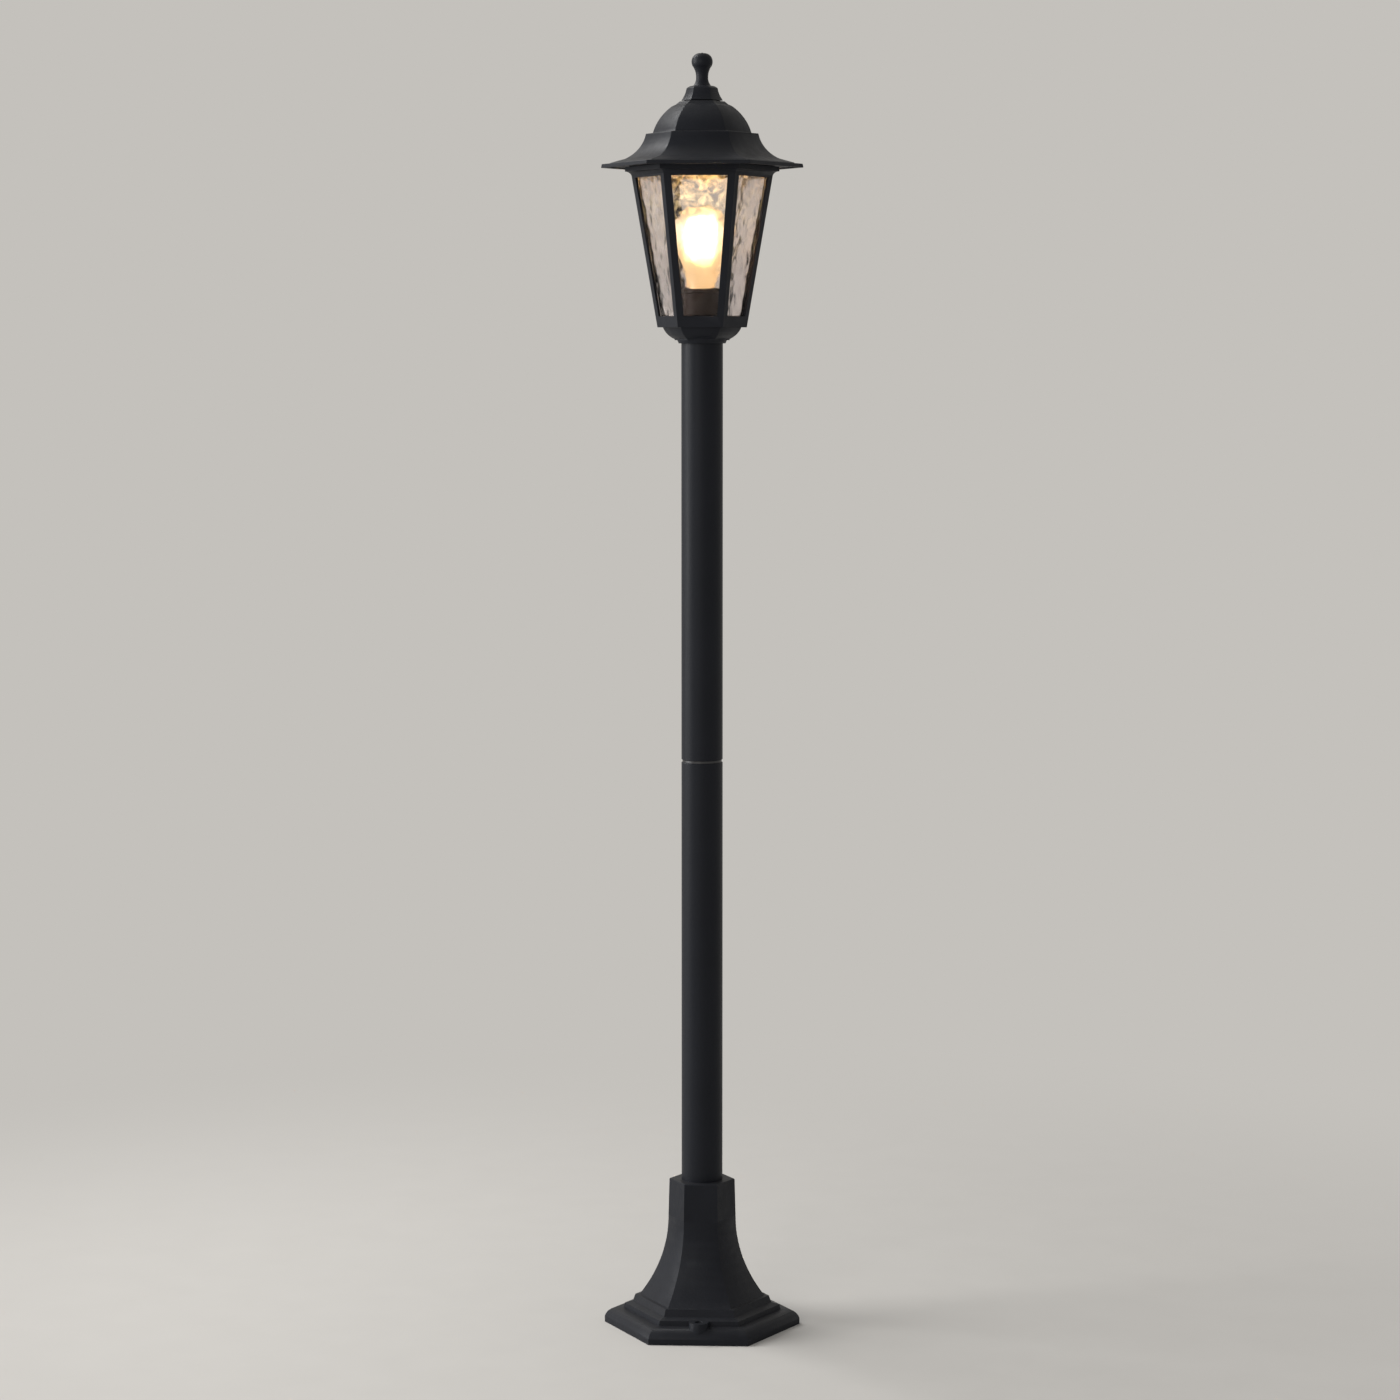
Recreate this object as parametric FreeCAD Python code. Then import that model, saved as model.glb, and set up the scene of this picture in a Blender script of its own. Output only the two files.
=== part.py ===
import FreeCAD, Part
import math
import os

# Outdoor lamp post: a six-sided glazed lantern on a round two-piece post with a six-sided cast base.
# Millimetres. The origin is the middle of the base's underside, +Z is up and a flat side faces -Y.
# Six-sided sizes are measured from the axis to a corner. The corners point along +X, -X and so on.

# Fits
SLIP = 0.15
PRESS = 0.04
SEAT_GAP = 0.3
THREAD_GAP = 0.05

# Base casting
BASE_CORNER = 96.0
BASE_SIDE = 5.5
PLINTH_INSET = 9.6
PLINTH_RISE = 8.8
PLINTH_BULGE = 1.8
LEDGE_WIDTH = 9.2
LEDGE_FALL = 0.4
LOW_STEP_RISE = 4.6
LOW_STEP_DRAFT = 1.1
STEP_SLOPE_WIDTH = 7.9
STEP_SLOPE_RISE = 2.3
HIGH_STEP_RISE = 6.6
HIGH_STEP_DRAFT = 2.5
HIGH_LEDGE_WIDTH = 4.4
FLARE_WIDTH = 28.3
FLARE_RISE = 79.5
FLARE_HOLLOW = 7.3
PILLAR_RISE = 36.7
PILLAR_DRAFT = 1.0
PILLAR_EDGE = 0.8
BASE_WALL = 4.0
BASE_RIM = 6.0
SOCKET_DEPTH = 60.0
SOCKET_FLOOR = 6.0

# Ground screw bosses, one at the front and one at the back of the base
BOSS_COUNT = 2
BOSS_CIRCLE = 143.0
BOSS_DIAMETER = 19.0
BOSS_STAND = 5.5
GROUND_HOLE = 8.0

# Cast posts and terminals inside the base
POST_DIAMETER = 9.0
POST_OFFSET = 23.0
TERMINAL_POST_LENGTH = 34.0
EARTH_POST_LENGTH = 18.0
POLE_COUNT = 3
POLE_PITCH = 10.0
BLOCK_DEPTH = 17.0
BLOCK_BODY = 9.0
POLE_TOWER = 4.0
WIRE_HOLE = 3.2
CLAMP_SCREW = 3.4
BLOCK_SCREW = 3.0
EARTH_SCREW = 4.0
SCREW_BITE = 8.0

# Post tubes
TUBE_DIAMETER = 40.0
TUBE_WALL = 1.5
LOWER_TUBE_SHOWN = 411.5
UPPER_TUBE_SHOWN = 401.5
JOINT_RING_HEIGHT = 2.2
JOINT_RING_INSET = 1.0
TUBE_EDGE = 0.6
COUPLING_REACH = 40.0
COUPLING_WALL = 3.0
PLUG_THICKNESS = 8.0
PLUG_EDGE = 0.6

# Hollow threaded stems with their nuts
STEM_DIAMETER = 10.0
STEM_BORE = 7.5
STEM_END = 2.5
NUT_FLATS = 14.0
NUT_HEIGHT = 3.8
WASHER_DIAMETER = 20.0
WASHER_THICKNESS = 1.2

# Cup under the lantern
COLLAR_WALL = 2.4
COLLAR_RISE = 3.1
COLLAR_FLARE = 1.5
COLLAR_DEPTH = 5.5
CUP_FOOT_CORNER = 26.4
CUP_FOOT_RISE = 1.0
CUP_FLARE = 11.2
CUP_RISE = 11.2
CUP_BULGE = 1.6
CUP_FLOOR = 3.0
CUP_HOLLOW_DIAMETER = 48.0

# Lantern cage
CAGE_FOOT_CORNER = 42.9
CAGE_FLARE = 24.6
CAGE_RISE = 144.0
CAGE_FLOOR = 3.0
CAGE_FLOOR_HOLE = 43.0
CAGE_WALL = 2.5
CAGE_LIP = 1.2
WINDOW_SILL = 10.3
WINDOW_HEAD = 2.0
MULLION_FOOT = 6.4
MULLION_HEAD = 7.0
PANE_EDGE_INSET = 4.8
LIP_COVER = 1.6
LIP_CUT_AWAY = 21.5
COVE_WIDTH = 6.3
COVE_RISE = 4.0
COVE_HOLLOW = 1.2
CROWN_HEIGHT = 4.4
CROWN_MOUTH_INSET = 9.0
CAGE_SCREW = 3.0
CAGE_SCREW_CIRCLE = 60.0
CAGE_SCREW_COUNT = 3
CAGE_SCREW_BITE = 5.0

# Glass panes
GLASS_THICKNESS = 2.5
GLASS_PLAY = 0.3
GLASS_SILL_COVER = 5.0
GLASS_HEAD_COVER = 3.5

# Roof
BRIM_CORNER = 96.9
BRIM_EDGE = 3.7
BRIM_EDGE_DRAFT = 0.7
BRIM_LIP_WIDTH = 7.2
BRIM_LIP_RISE = 0.3
BRIM_STEP_WIDTH = 1.1
BRIM_STEP_RISE = 0.8
BRIM_SLOPE_WIDTH = 13.9
BRIM_SLOPE_RISE = 3.8
OGEE_WIDTH = 20.1
OGEE_RISE = 23.7
OGEE_HOLLOW = 3.8
BELL_STEP_WIDTH = 6.6
BELL_STEP_RISE = 0.5
BELL_WIDTH = 17.9
BELL_RISE = 25.0
BELL_BULGE = 2.6
SHOULDER_WIDTH = 4.1
SHOULDER_RISE = 1.9
CROWN_SLOPE_WIDTH = 3.6
CROWN_SLOPE_RISE = 2.9
PAD_INSET = 4.7
PAD_RISE = 0.9
ROOF_DRIP = 0.9
ROOF_WALL = 2.6
DRIP_WIDTH = 3.2
SEAT_OVERLAP = 5.6
SPIGOT_WIDTH = 3.8
SPIGOT_DEPTH = 5.4

# Spring clips pushed over the roof's spigot
CLIP_COUNT = 3
CLIP_WIDTH = 10.0
CLIP_STRIP = 0.5
CLIP_SINK = 1.6
CLIP_LEG = 9.0

# Finial and its screw
FINIAL_CORNER = 19.9
SKIRT_INSET = 5.0
SKIRT_RISE = 11.4
SKIRT_HOLLOW = 0.8
SKIRT_SHOULDER_WIDTH = 4.6
SKIRT_SHOULDER_RISE = 2.4
FINIAL_NECK_FOOT = 8.6
FINIAL_NECK = 5.8
NECK_RISE = 8.4
THROAT_RISE = 10.4
NECK_HOLLOW = 0.9
BALL_SEAT = 9.2
BALL_RISE = 8.5
BALL_SHOULDER = 8.75
BALL_BULGE = 1.1
BALL_DOME_RISE = 3.3
BALL_DOME_BULGE = 1.2
TIP_DIAMETER = 2.4
TIP_RISE = 0.6
FINIAL_SCREW = 5.0
FINIAL_SCREW_BITE = 9.0
FINIAL_WASHER_DIAMETER = 12.0

# Lamp holder and bulb
HOLDER_DIAMETER = 38.0
HOLDER_FOOT_DIAMETER = 33.0
HOLDER_FOOT_RISE = 11.0
HOLDER_BODY_RISE = 27.8
HOLDER_RIM = 1.2
HOLDER_FLOOR = 10.3
CONTACT_STRIP = 0.6
CONTACT_RISE = 1.5
CONTACT_WIDTH = 6.0
SHELL_WALL = 0.4
SHELL_RISE = 22.0
CAP_DIAMETER = 26.4
CAP_LENGTH = 24.0
CAP_TIP_DIAMETER = 11.0
CAP_TIP_RISE = 1.6
CAP_CONE_RISE = 5.5
CAP_LIP = 0.8
BULB_DIAMETER = 60.0
BULB_LENGTH = 106.0
BULB_NECK_DIAMETER = 27.2
BULB_NECK_TURN = 35.0

# Screw heads follow the thread they belong to
HEAD_SPREAD = 1.85
HEAD_RISE = 0.6

SIDES = 6
CORNER_ANGLE = 360.0 / SIDES
FLAT_RATIO = math.cos(math.pi / SIDES)
AXIS_POINT = FreeCAD.Vector(0, 0, 0)
UP = FreeCAD.Vector(0, 0, 1)

# Heights where pieces meet, from the ground up
PLINTH_TOP = BASE_SIDE + PLINTH_RISE
FLARE_FOOT = PLINTH_TOP + LEDGE_FALL + LOW_STEP_RISE + STEP_SLOPE_RISE + HIGH_STEP_RISE + LEDGE_FALL
BASE_TOP = FLARE_FOOT + FLARE_RISE + PILLAR_RISE
TUBE_FOOT = BASE_TOP - SOCKET_DEPTH
SOCKET_UNDERSIDE = TUBE_FOOT - SOCKET_FLOOR
LOWER_TUBE_TOP = BASE_TOP + LOWER_TUBE_SHOWN
UPPER_TUBE_FOOT = LOWER_TUBE_TOP + JOINT_RING_HEIGHT
CUP_FOOT = UPPER_TUBE_FOOT + UPPER_TUBE_SHOWN
TUBE_TOP = CUP_FOOT + COLLAR_DEPTH
CUP_FLOOR_TOP = TUBE_TOP + CUP_FLOOR
CAGE_FOOT = CUP_FOOT + COLLAR_RISE + CUP_FOOT_RISE + CUP_RISE
CAGE_TOP = CAGE_FOOT + CAGE_RISE
CROWN_TOP = CAGE_TOP + COVE_RISE + CROWN_HEIGHT
ROOF_SEAT = CROWN_TOP + SEAT_GAP
ROOF_FOOT = CROWN_TOP - ROOF_DRIP
HOLDER_FOOT = CUP_FLOOR_TOP + WASHER_THICKNESS + NUT_HEIGHT
HOLDER_WELL = HOLDER_FOOT + HOLDER_FLOOR
BULB_FOOT = HOLDER_WELL + CONTACT_STRIP + CONTACT_RISE + SEAT_GAP

TUBE_RADIUS = TUBE_DIAMETER / 2
TUBE_BORE_RADIUS = TUBE_RADIUS - TUBE_WALL
CAGE_SLOPE = CAGE_FLARE / CAGE_RISE
CROWN_CORNER = CAGE_FOOT_CORNER + CAGE_FLARE + COVE_WIDTH
CROWN_MOUTH_CORNER = CROWN_CORNER - CROWN_MOUTH_INSET
SPIGOT_CORNER = CROWN_MOUTH_CORNER - (SEAT_GAP + SLIP) / FLAT_RATIO


def arc_or_line(start, end, bulge, squeeze):
    # A bulge bows the edge to the right of its travel, a negative bulge hollows it.
    a = FreeCAD.Vector(start[0] * squeeze, 0, start[1])
    b = FreeCAD.Vector(end[0] * squeeze, 0, end[1])
    if bulge == 0:
        return Part.makeLine(a, b)
    run = end[0] - start[0]
    rise = end[1] - start[1]
    length = math.hypot(run, rise)
    middle_out = (start[0] + end[0]) / 2 + bulge * rise / length
    middle_up = (start[1] + end[1]) / 2 - bulge * run / length
    middle = FreeCAD.Vector(middle_out * squeeze, 0, middle_up)
    return Part.Arc(a, middle, b).toShape()


def outline_edges(path, squeeze):
    edges = []
    for before, after in zip(path, path[1:]):
        edges.append(arc_or_line(before, after, after[2], squeeze))
    return edges


def point(out, height, bulge=0.0):
    return (out, height, bulge)


def step(path, inward, rise, bulge=0.0):
    out, height, unused = path[-1]
    path.append(point(out - inward, height + rise, bulge))


def six_sided(path):
    # Three long bars with the same outline cross at 60 degrees, and what they share is the solid.
    edges = outline_edges(path, FLAT_RATIO)
    mirrored = []
    for edge in edges:
        mirrored.append(edge.mirror(AXIS_POINT, FreeCAD.Vector(1, 0, 0)))
    low = path[0]
    high = path[-1]
    edges.append(arc_or_line(high, point(-high[0], high[1]), 0, FLAT_RATIO))
    edges.append(arc_or_line(low, point(-low[0], low[1]), 0, FLAT_RATIO))
    face = Part.Face(Part.Wire(Part.__sortEdges__(edges + mirrored)))
    reach = 2.5 * max(place[0] for place in path)
    bar = face.extrude(FreeCAD.Vector(0, reach, 0))
    bar.translate(FreeCAD.Vector(0, -reach / 2, 0))
    bar.rotate(AXIS_POINT, UP, CORNER_ANGLE / 2)
    solid = bar
    for turn in range(1, SIDES // 2):
        crossing = bar.copy()
        crossing.rotate(AXIS_POINT, UP, turn * CORNER_ANGLE)
        solid = solid.common(crossing)
    return solid.removeSplitter()


def turned(path):
    edges = outline_edges(path, 1.0)
    low = path[0]
    high = path[-1]
    if high[0] > 0:
        edges.append(arc_or_line(high, point(0, high[1]), 0, 1.0))
    if low[0] > 0:
        edges.append(arc_or_line(point(0, low[1]), low, 0, 1.0))
    edges.append(arc_or_line(point(0, high[1]), point(0, low[1]), 0, 1.0))
    face = Part.Face(Part.Wire(Part.__sortEdges__(edges)))
    return face.revolve(AXIS_POINT, UP, 360)


def six_sided_prism(corner, low, high):
    return six_sided([point(corner, low), point(corner, high)])


def disc(diameter, low, high, x=0.0, y=0.0):
    return Part.makeCylinder(diameter / 2, high - low, FreeCAD.Vector(x, y, low))


def pipe(outer, inner, low, high):
    return disc(outer, low, high).cut(disc(inner, low - 1, high + 1))


def turned_copies(shape, count, first_angle=0.0):
    copies = []
    for number in range(count):
        copy = shape.copy()
        copy.rotate(AXIS_POINT, UP, first_angle + number * 360.0 / count)
        copies.append(copy)
    return copies


def circle_places(count, circle, first_angle):
    places = []
    for number in range(count):
        angle = math.radians(first_angle + number * 360.0 / count)
        places.append((circle / 2 * math.cos(angle), circle / 2 * math.sin(angle)))
    return places


def nut(flats, hole, low, height):
    corner = flats / 2 / FLAT_RATIO
    return six_sided_prism(corner, low, low + height).cut(disc(hole, low - 1, low + height + 1))


def pan_screw(thread, seat, tip, x=0.0, y=0.0):
    # The screw's round head lies under the seat and its shank rises to the tip.
    head_low = seat - HEAD_RISE * thread
    head_radius = thread * HEAD_SPREAD / 2
    path = [point(head_radius * 0.7, head_low)]
    path.append(point(head_radius, head_low + HEAD_RISE * thread * 0.6, 0.25))
    path.append(point(head_radius, seat))
    path.append(point(thread / 2, seat))
    path.append(point(thread / 2, tip - thread / 6))
    path.append(point(thread / 3, tip))
    screw = turned(path)
    slot = Part.makeBox(head_radius * 2.2, thread * 0.2, thread * 0.25)
    slot.translate(FreeCAD.Vector(-head_radius * 1.1, -thread * 0.1, head_low))
    screw = screw.cut(slot)
    screw.translate(FreeCAD.Vector(x, y, 0))
    return screw


def base_outline():
    path = [point(BASE_CORNER, 0)]
    step(path, 0, BASE_SIDE)
    step(path, PLINTH_INSET, PLINTH_RISE, PLINTH_BULGE)
    step(path, LEDGE_WIDTH, LEDGE_FALL)
    step(path, LOW_STEP_DRAFT, LOW_STEP_RISE)
    step(path, STEP_SLOPE_WIDTH, STEP_SLOPE_RISE)
    step(path, HIGH_STEP_DRAFT, HIGH_STEP_RISE)
    step(path, HIGH_LEDGE_WIDTH, LEDGE_FALL)
    step(path, FLARE_WIDTH, FLARE_RISE, -FLARE_HOLLOW)
    step(path, PILLAR_DRAFT, PILLAR_RISE - PILLAR_EDGE)
    step(path, PILLAR_EDGE, PILLAR_EDGE)
    return path


def base_hollow():
    # The hollow follows the outside one wall thickness further in, up to the socket's floor.
    wall = BASE_WALL / FLAT_RATIO
    path = [point(BASE_CORNER - BASE_RIM, -1)]
    step(path, 0, BASE_SIDE)
    step(path, PLINTH_INSET + LEDGE_WIDTH + wall - BASE_RIM, PLINTH_RISE + LEDGE_FALL - BASE_WALL + 1)
    step(path, LOW_STEP_DRAFT, LOW_STEP_RISE)
    step(path, STEP_SLOPE_WIDTH, STEP_SLOPE_RISE)
    step(path, HIGH_STEP_DRAFT, HIGH_STEP_RISE)
    step(path, HIGH_LEDGE_WIDTH, LEDGE_FALL)
    step(path, FLARE_WIDTH, FLARE_RISE, -FLARE_HOLLOW)
    hollow = six_sided(path)
    return hollow.common(disc(3 * BASE_CORNER, -2, SOCKET_UNDERSIDE))


def boss_places():
    return circle_places(BOSS_COUNT, BOSS_CIRCLE, -90.0)


def make_base():
    casting = six_sided(base_outline()).cut(base_hollow())
    boss_top = PLINTH_TOP + LEDGE_FALL + BOSS_STAND
    for x, y in boss_places():
        casting = casting.fuse(disc(BOSS_DIAMETER, 0, boss_top, x, y))
    inside_floor = (SOCKET_UNDERSIDE + TUBE_FOOT) / 2
    for length, offset in ((TERMINAL_POST_LENGTH, POST_OFFSET), (EARTH_POST_LENGTH, -POST_OFFSET)):
        post = disc(POST_DIAMETER, SOCKET_UNDERSIDE - length, inside_floor, 0, offset)
        casting = casting.fuse(post)
    casting = casting.cut(disc(TUBE_DIAMETER + 2 * SLIP, TUBE_FOOT, BASE_TOP + 1))
    casting = casting.cut(disc(STEM_DIAMETER + 4 * SLIP, SOCKET_UNDERSIDE - 1, TUBE_FOOT + 1))
    for x, y in boss_places():
        casting = casting.cut(disc(GROUND_HOLE, -1, boss_top + 1, x, y))
    casting = casting.cut(post_hole(BLOCK_SCREW, TERMINAL_POST_LENGTH, POST_OFFSET))
    casting = casting.cut(post_hole(EARTH_SCREW, EARTH_POST_LENGTH, -POST_OFFSET))
    return casting.removeSplitter()


def post_hole(thread, length, offset):
    mouth = SOCKET_UNDERSIDE - length
    return disc(thread + 2 * THREAD_GAP, mouth - 1, mouth + SCREW_BITE + 1, 0, offset)


def pole_offsets():
    # The fixing screw stands between two poles, so the row sits half a pitch to one side.
    first = -POLE_COUNT / 2 * POLE_PITCH
    return [first + number * POLE_PITCH for number in range(POLE_COUNT)]


def clamp_screw_places():
    places = []
    for x in pole_offsets():
        for side in (-1, 1):
            places.append((x, POST_OFFSET + side * BLOCK_DEPTH / 4))
    return places


def make_terminal_block():
    top = SOCKET_UNDERSIDE - TERMINAL_POST_LENGTH
    width = POLE_COUNT * POLE_PITCH
    body = Part.makeBox(width, BLOCK_DEPTH, BLOCK_BODY)
    left = pole_offsets()[0] - POLE_PITCH / 2
    body.translate(FreeCAD.Vector(left, POST_OFFSET - BLOCK_DEPTH / 2, top - BLOCK_BODY))
    low = top - BLOCK_BODY - POLE_TOWER
    for x, y in clamp_screw_places():
        body = body.fuse(disc(POLE_PITCH * 0.62, low, top - BLOCK_BODY / 2, x, y))
    for x, y in clamp_screw_places():
        body = body.cut(disc(CLAMP_SCREW + 2 * SLIP, low - 1, top - BLOCK_BODY / 2, x, y))
    for x in pole_offsets():
        mouth = FreeCAD.Vector(x, POST_OFFSET - BLOCK_DEPTH / 2 - 1, top - BLOCK_BODY / 2)
        run = Part.makeCylinder(WIRE_HOLE / 2, BLOCK_DEPTH + 2, mouth, FreeCAD.Vector(0, 1, 0))
        body = body.cut(run)
    body = body.cut(disc(BLOCK_SCREW + 2 * SLIP, low, top + 1, 0, POST_OFFSET))
    return body.removeSplitter()


def make_terminal_clamp_screws():
    top = SOCKET_UNDERSIDE - TERMINAL_POST_LENGTH - BLOCK_BODY / 2
    length = BLOCK_BODY / 2 + POLE_TOWER / 2
    screws = []
    for x, y in clamp_screw_places():
        screw = disc(CLAMP_SCREW, top - length, top, x, y)
        slot = Part.makeBox(CLAMP_SCREW * 1.2, CLAMP_SCREW * 0.25, CLAMP_SCREW * 0.3)
        slot.translate(FreeCAD.Vector(x - CLAMP_SCREW * 0.6, y - CLAMP_SCREW * 0.125, top - length))
        screws.append(screw.cut(slot))
    return Part.makeCompound(screws)


def make_terminal_block_screw():
    mouth = SOCKET_UNDERSIDE - TERMINAL_POST_LENGTH
    return pan_screw(BLOCK_SCREW, mouth - BLOCK_BODY, mouth + SCREW_BITE, 0, POST_OFFSET)


def earth_washer_low():
    return SOCKET_UNDERSIDE - EARTH_POST_LENGTH - WASHER_THICKNESS


def make_earth_washer():
    low = earth_washer_low()
    ring = pipe(EARTH_SCREW * 2.2, EARTH_SCREW + 2 * SLIP, low, low + WASHER_THICKNESS)
    ring.translate(FreeCAD.Vector(0, -POST_OFFSET, 0))
    return ring


def make_earth_screw():
    mouth = earth_washer_low() + WASHER_THICKNESS
    return pan_screw(EARTH_SCREW, earth_washer_low(), mouth + SCREW_BITE, 0, -POST_OFFSET)


def make_tube(foot, top):
    # Both ends have their outer edge broken, which shows as a groove where the tubes meet.
    path = [point(TUBE_RADIUS - TUBE_EDGE, foot)]
    path.append(point(TUBE_RADIUS, foot + TUBE_EDGE))
    path.append(point(TUBE_RADIUS, top - TUBE_EDGE))
    path.append(point(TUBE_RADIUS - TUBE_EDGE, top))
    return turned(path).cut(disc(2 * TUBE_BORE_RADIUS, foot - 1, top + 1))


def make_plug(low):
    # The plug is pressed into the tube's end and tapped for the stem.
    radius = TUBE_BORE_RADIUS - PRESS
    path = [point(radius - PLUG_EDGE, low)]
    path.append(point(radius, low + PLUG_EDGE))
    path.append(point(radius, low + PLUG_THICKNESS - PLUG_EDGE))
    path.append(point(radius - PLUG_EDGE, low + PLUG_THICKNESS))
    return turned(path).cut(disc(STEM_DIAMETER + 2 * THREAD_GAP, low - 1, low + PLUG_THICKNESS + 1))


def make_post_coupling():
    sleeve_radius = TUBE_BORE_RADIUS - PRESS
    lead = COUPLING_WALL / 3
    path = [point(sleeve_radius - lead, LOWER_TUBE_TOP - COUPLING_REACH)]
    path.append(point(sleeve_radius, LOWER_TUBE_TOP - COUPLING_REACH + lead))
    path.append(point(sleeve_radius, LOWER_TUBE_TOP))
    path.append(point(TUBE_RADIUS - JOINT_RING_INSET, LOWER_TUBE_TOP))
    path.append(point(TUBE_RADIUS - JOINT_RING_INSET, UPPER_TUBE_FOOT))
    path.append(point(sleeve_radius, UPPER_TUBE_FOOT))
    path.append(point(sleeve_radius, UPPER_TUBE_FOOT + COUPLING_REACH - lead))
    path.append(point(sleeve_radius - lead, UPPER_TUBE_FOOT + COUPLING_REACH))
    bore = 2 * (sleeve_radius - COUPLING_WALL)
    low = LOWER_TUBE_TOP - COUPLING_REACH - 1
    return turned(path).cut(disc(bore, low, UPPER_TUBE_FOOT + COUPLING_REACH + 1))


def make_stem(low, high):
    return pipe(STEM_DIAMETER, STEM_BORE, low, high)


def make_lower_stem():
    low = SOCKET_UNDERSIDE - WASHER_THICKNESS - NUT_HEIGHT - STEM_END
    return make_stem(low, TUBE_FOOT + PLUG_THICKNESS + STEM_END)


def make_upper_stem():
    return make_stem(TUBE_TOP - PLUG_THICKNESS - STEM_END, HOLDER_WELL - SEAT_GAP)


def make_stem_washer(low):
    return pipe(WASHER_DIAMETER, STEM_DIAMETER + 2 * SLIP, low, low + WASHER_THICKNESS)


def make_stem_nut(low):
    return nut(NUT_FLATS, STEM_DIAMETER + 2 * THREAD_GAP, low, NUT_HEIGHT)


def cage_screw_places():
    return circle_places(CAGE_SCREW_COUNT, CAGE_SCREW_CIRCLE, 0.0)


def make_cup():
    collar_foot = TUBE_RADIUS + COLLAR_WALL
    collar = turned([point(collar_foot, CUP_FOOT), point(collar_foot + COLLAR_FLARE, CUP_FOOT + COLLAR_RISE),
                     point(collar_foot + COLLAR_FLARE, TUBE_TOP)])
    path = [point(CUP_FOOT_CORNER, CUP_FOOT + COLLAR_RISE)]
    step(path, 0, CUP_FOOT_RISE)
    step(path, -CUP_FLARE, CUP_RISE, CUP_BULGE)
    cup = six_sided(path).fuse(collar)
    cup = cup.cut(disc(TUBE_DIAMETER + 2 * SLIP, CUP_FOOT - 1, TUBE_TOP))
    cup = cup.cut(disc(STEM_DIAMETER + 4 * SLIP, TUBE_TOP - 1, CUP_FLOOR_TOP + 1))
    cup = cup.cut(disc(CUP_HOLLOW_DIAMETER, CUP_FLOOR_TOP, CAGE_FOOT + 1))
    for x, y in cage_screw_places():
        cup = cup.cut(disc(CAGE_SCREW + 2 * THREAD_GAP, CAGE_FOOT - CAGE_SCREW_BITE, CAGE_FOOT + 1, x, y))
    return cup.removeSplitter()


def cage_corner(height):
    return CAGE_FOOT_CORNER + CAGE_SLOPE * (height - CAGE_FOOT)


def cage_tilt():
    return math.atan(CAGE_SLOPE * FLAT_RATIO)


def tilted_prism(low, high, edge_low, edge_high, near, far):
    # A flat-sided block square to one sloping side of the cage, here the side that faces +X before
    # it is turned. Its edges keep the given distances from the cage's corners, and it lies between
    # the depths near and far behind the outer surface.
    tilt = cage_tilt()
    inward = FreeCAD.Vector(-math.cos(tilt), 0, math.sin(tilt))
    corners = []
    for height, edge in ((low, edge_low), (high, edge_high)):
        half = cage_corner(height) / 2 - edge
        out = cage_corner(height) * FLAT_RATIO
        corners.append((FreeCAD.Vector(out, -half, height), FreeCAD.Vector(out, half, height)))
    ring = [corners[0][0], corners[0][1], corners[1][1], corners[1][0], corners[0][0]]
    face = Part.Face(Part.makePolygon([place + inward * near for place in ring]))
    block = face.extrude(inward * (far - near))
    block.rotate(AXIS_POINT, UP, CORNER_ANGLE / 2)
    return block


def glass_near():
    return CAGE_WALL + GLASS_PLAY


def glass_far():
    return CAGE_WALL + GLASS_PLAY + GLASS_THICKNESS


def glass_sill():
    return CAGE_FOOT + WINDOW_SILL - GLASS_SILL_COVER


def glass_head():
    return CAGE_TOP - WINDOW_HEAD + GLASS_HEAD_COVER


def make_pane(side):
    edge = PANE_EDGE_INSET
    pane = tilted_prism(glass_sill(), glass_head(), edge, edge, glass_near(), glass_far())
    pane.rotate(AXIS_POINT, UP, side * CORNER_ANGLE)
    return pane


def window_cuts():
    # One window through the wall, the channel for its pane, and the opening between the lips behind.
    sill = CAGE_FOOT + WINDOW_SILL
    head = CAGE_TOP - WINDOW_HEAD
    above = CROWN_TOP + 2
    channel_edge = PANE_EDGE_INSET - GLASS_PLAY
    channel_far = glass_far() + GLASS_PLAY
    lip_edge = PANE_EDGE_INSET + LIP_COVER
    lip_far = channel_far + CAGE_LIP + 1
    window = tilted_prism(sill, head, MULLION_FOOT, MULLION_HEAD, -1, CAGE_WALL + 0.1)
    channel = tilted_prism(glass_sill(), above, channel_edge, channel_edge, CAGE_WALL, channel_far)
    between_lips = tilted_prism(sill, above, lip_edge, lip_edge, CAGE_WALL, lip_far)
    way_in = tilted_prism(head - LIP_CUT_AWAY, above, channel_edge, channel_edge, CAGE_WALL, lip_far)
    return [window, channel, between_lips, way_in]


def make_cage():
    path = [point(CAGE_FOOT_CORNER, CAGE_FOOT)]
    step(path, -CAGE_FLARE, CAGE_RISE)
    step(path, -COVE_WIDTH, COVE_RISE, -COVE_HOLLOW)
    step(path, 0, CROWN_HEIGHT)
    cage = six_sided(path)
    depth = glass_far() + GLASS_PLAY + CAGE_LIP
    inset = depth / math.cos(cage_tilt()) / FLAT_RATIO
    floor_top = CAGE_FOOT + CAGE_FLOOR
    above = CROWN_TOP + 1
    inside_foot = point(cage_corner(floor_top) - inset, floor_top)
    inside_head = point(cage_corner(above) - inset, above)
    inside = six_sided([inside_foot, inside_head])
    mouth = six_sided_prism(CROWN_MOUTH_CORNER, glass_head(), above)
    cage = cage.cut([inside, mouth])
    cuts = []
    for cut in window_cuts():
        cuts.extend(turned_copies(cut, SIDES))
    cage = cage.cut(cuts)
    cage = cage.cut(disc(CAGE_FLOOR_HOLE, CAGE_FOOT - 1, floor_top + 1))
    for x, y in cage_screw_places():
        cage = cage.cut(disc(CAGE_SCREW + 4 * SLIP, CAGE_FOOT - 1, floor_top + 1, x, y))
    return cage.removeSplitter()


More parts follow.
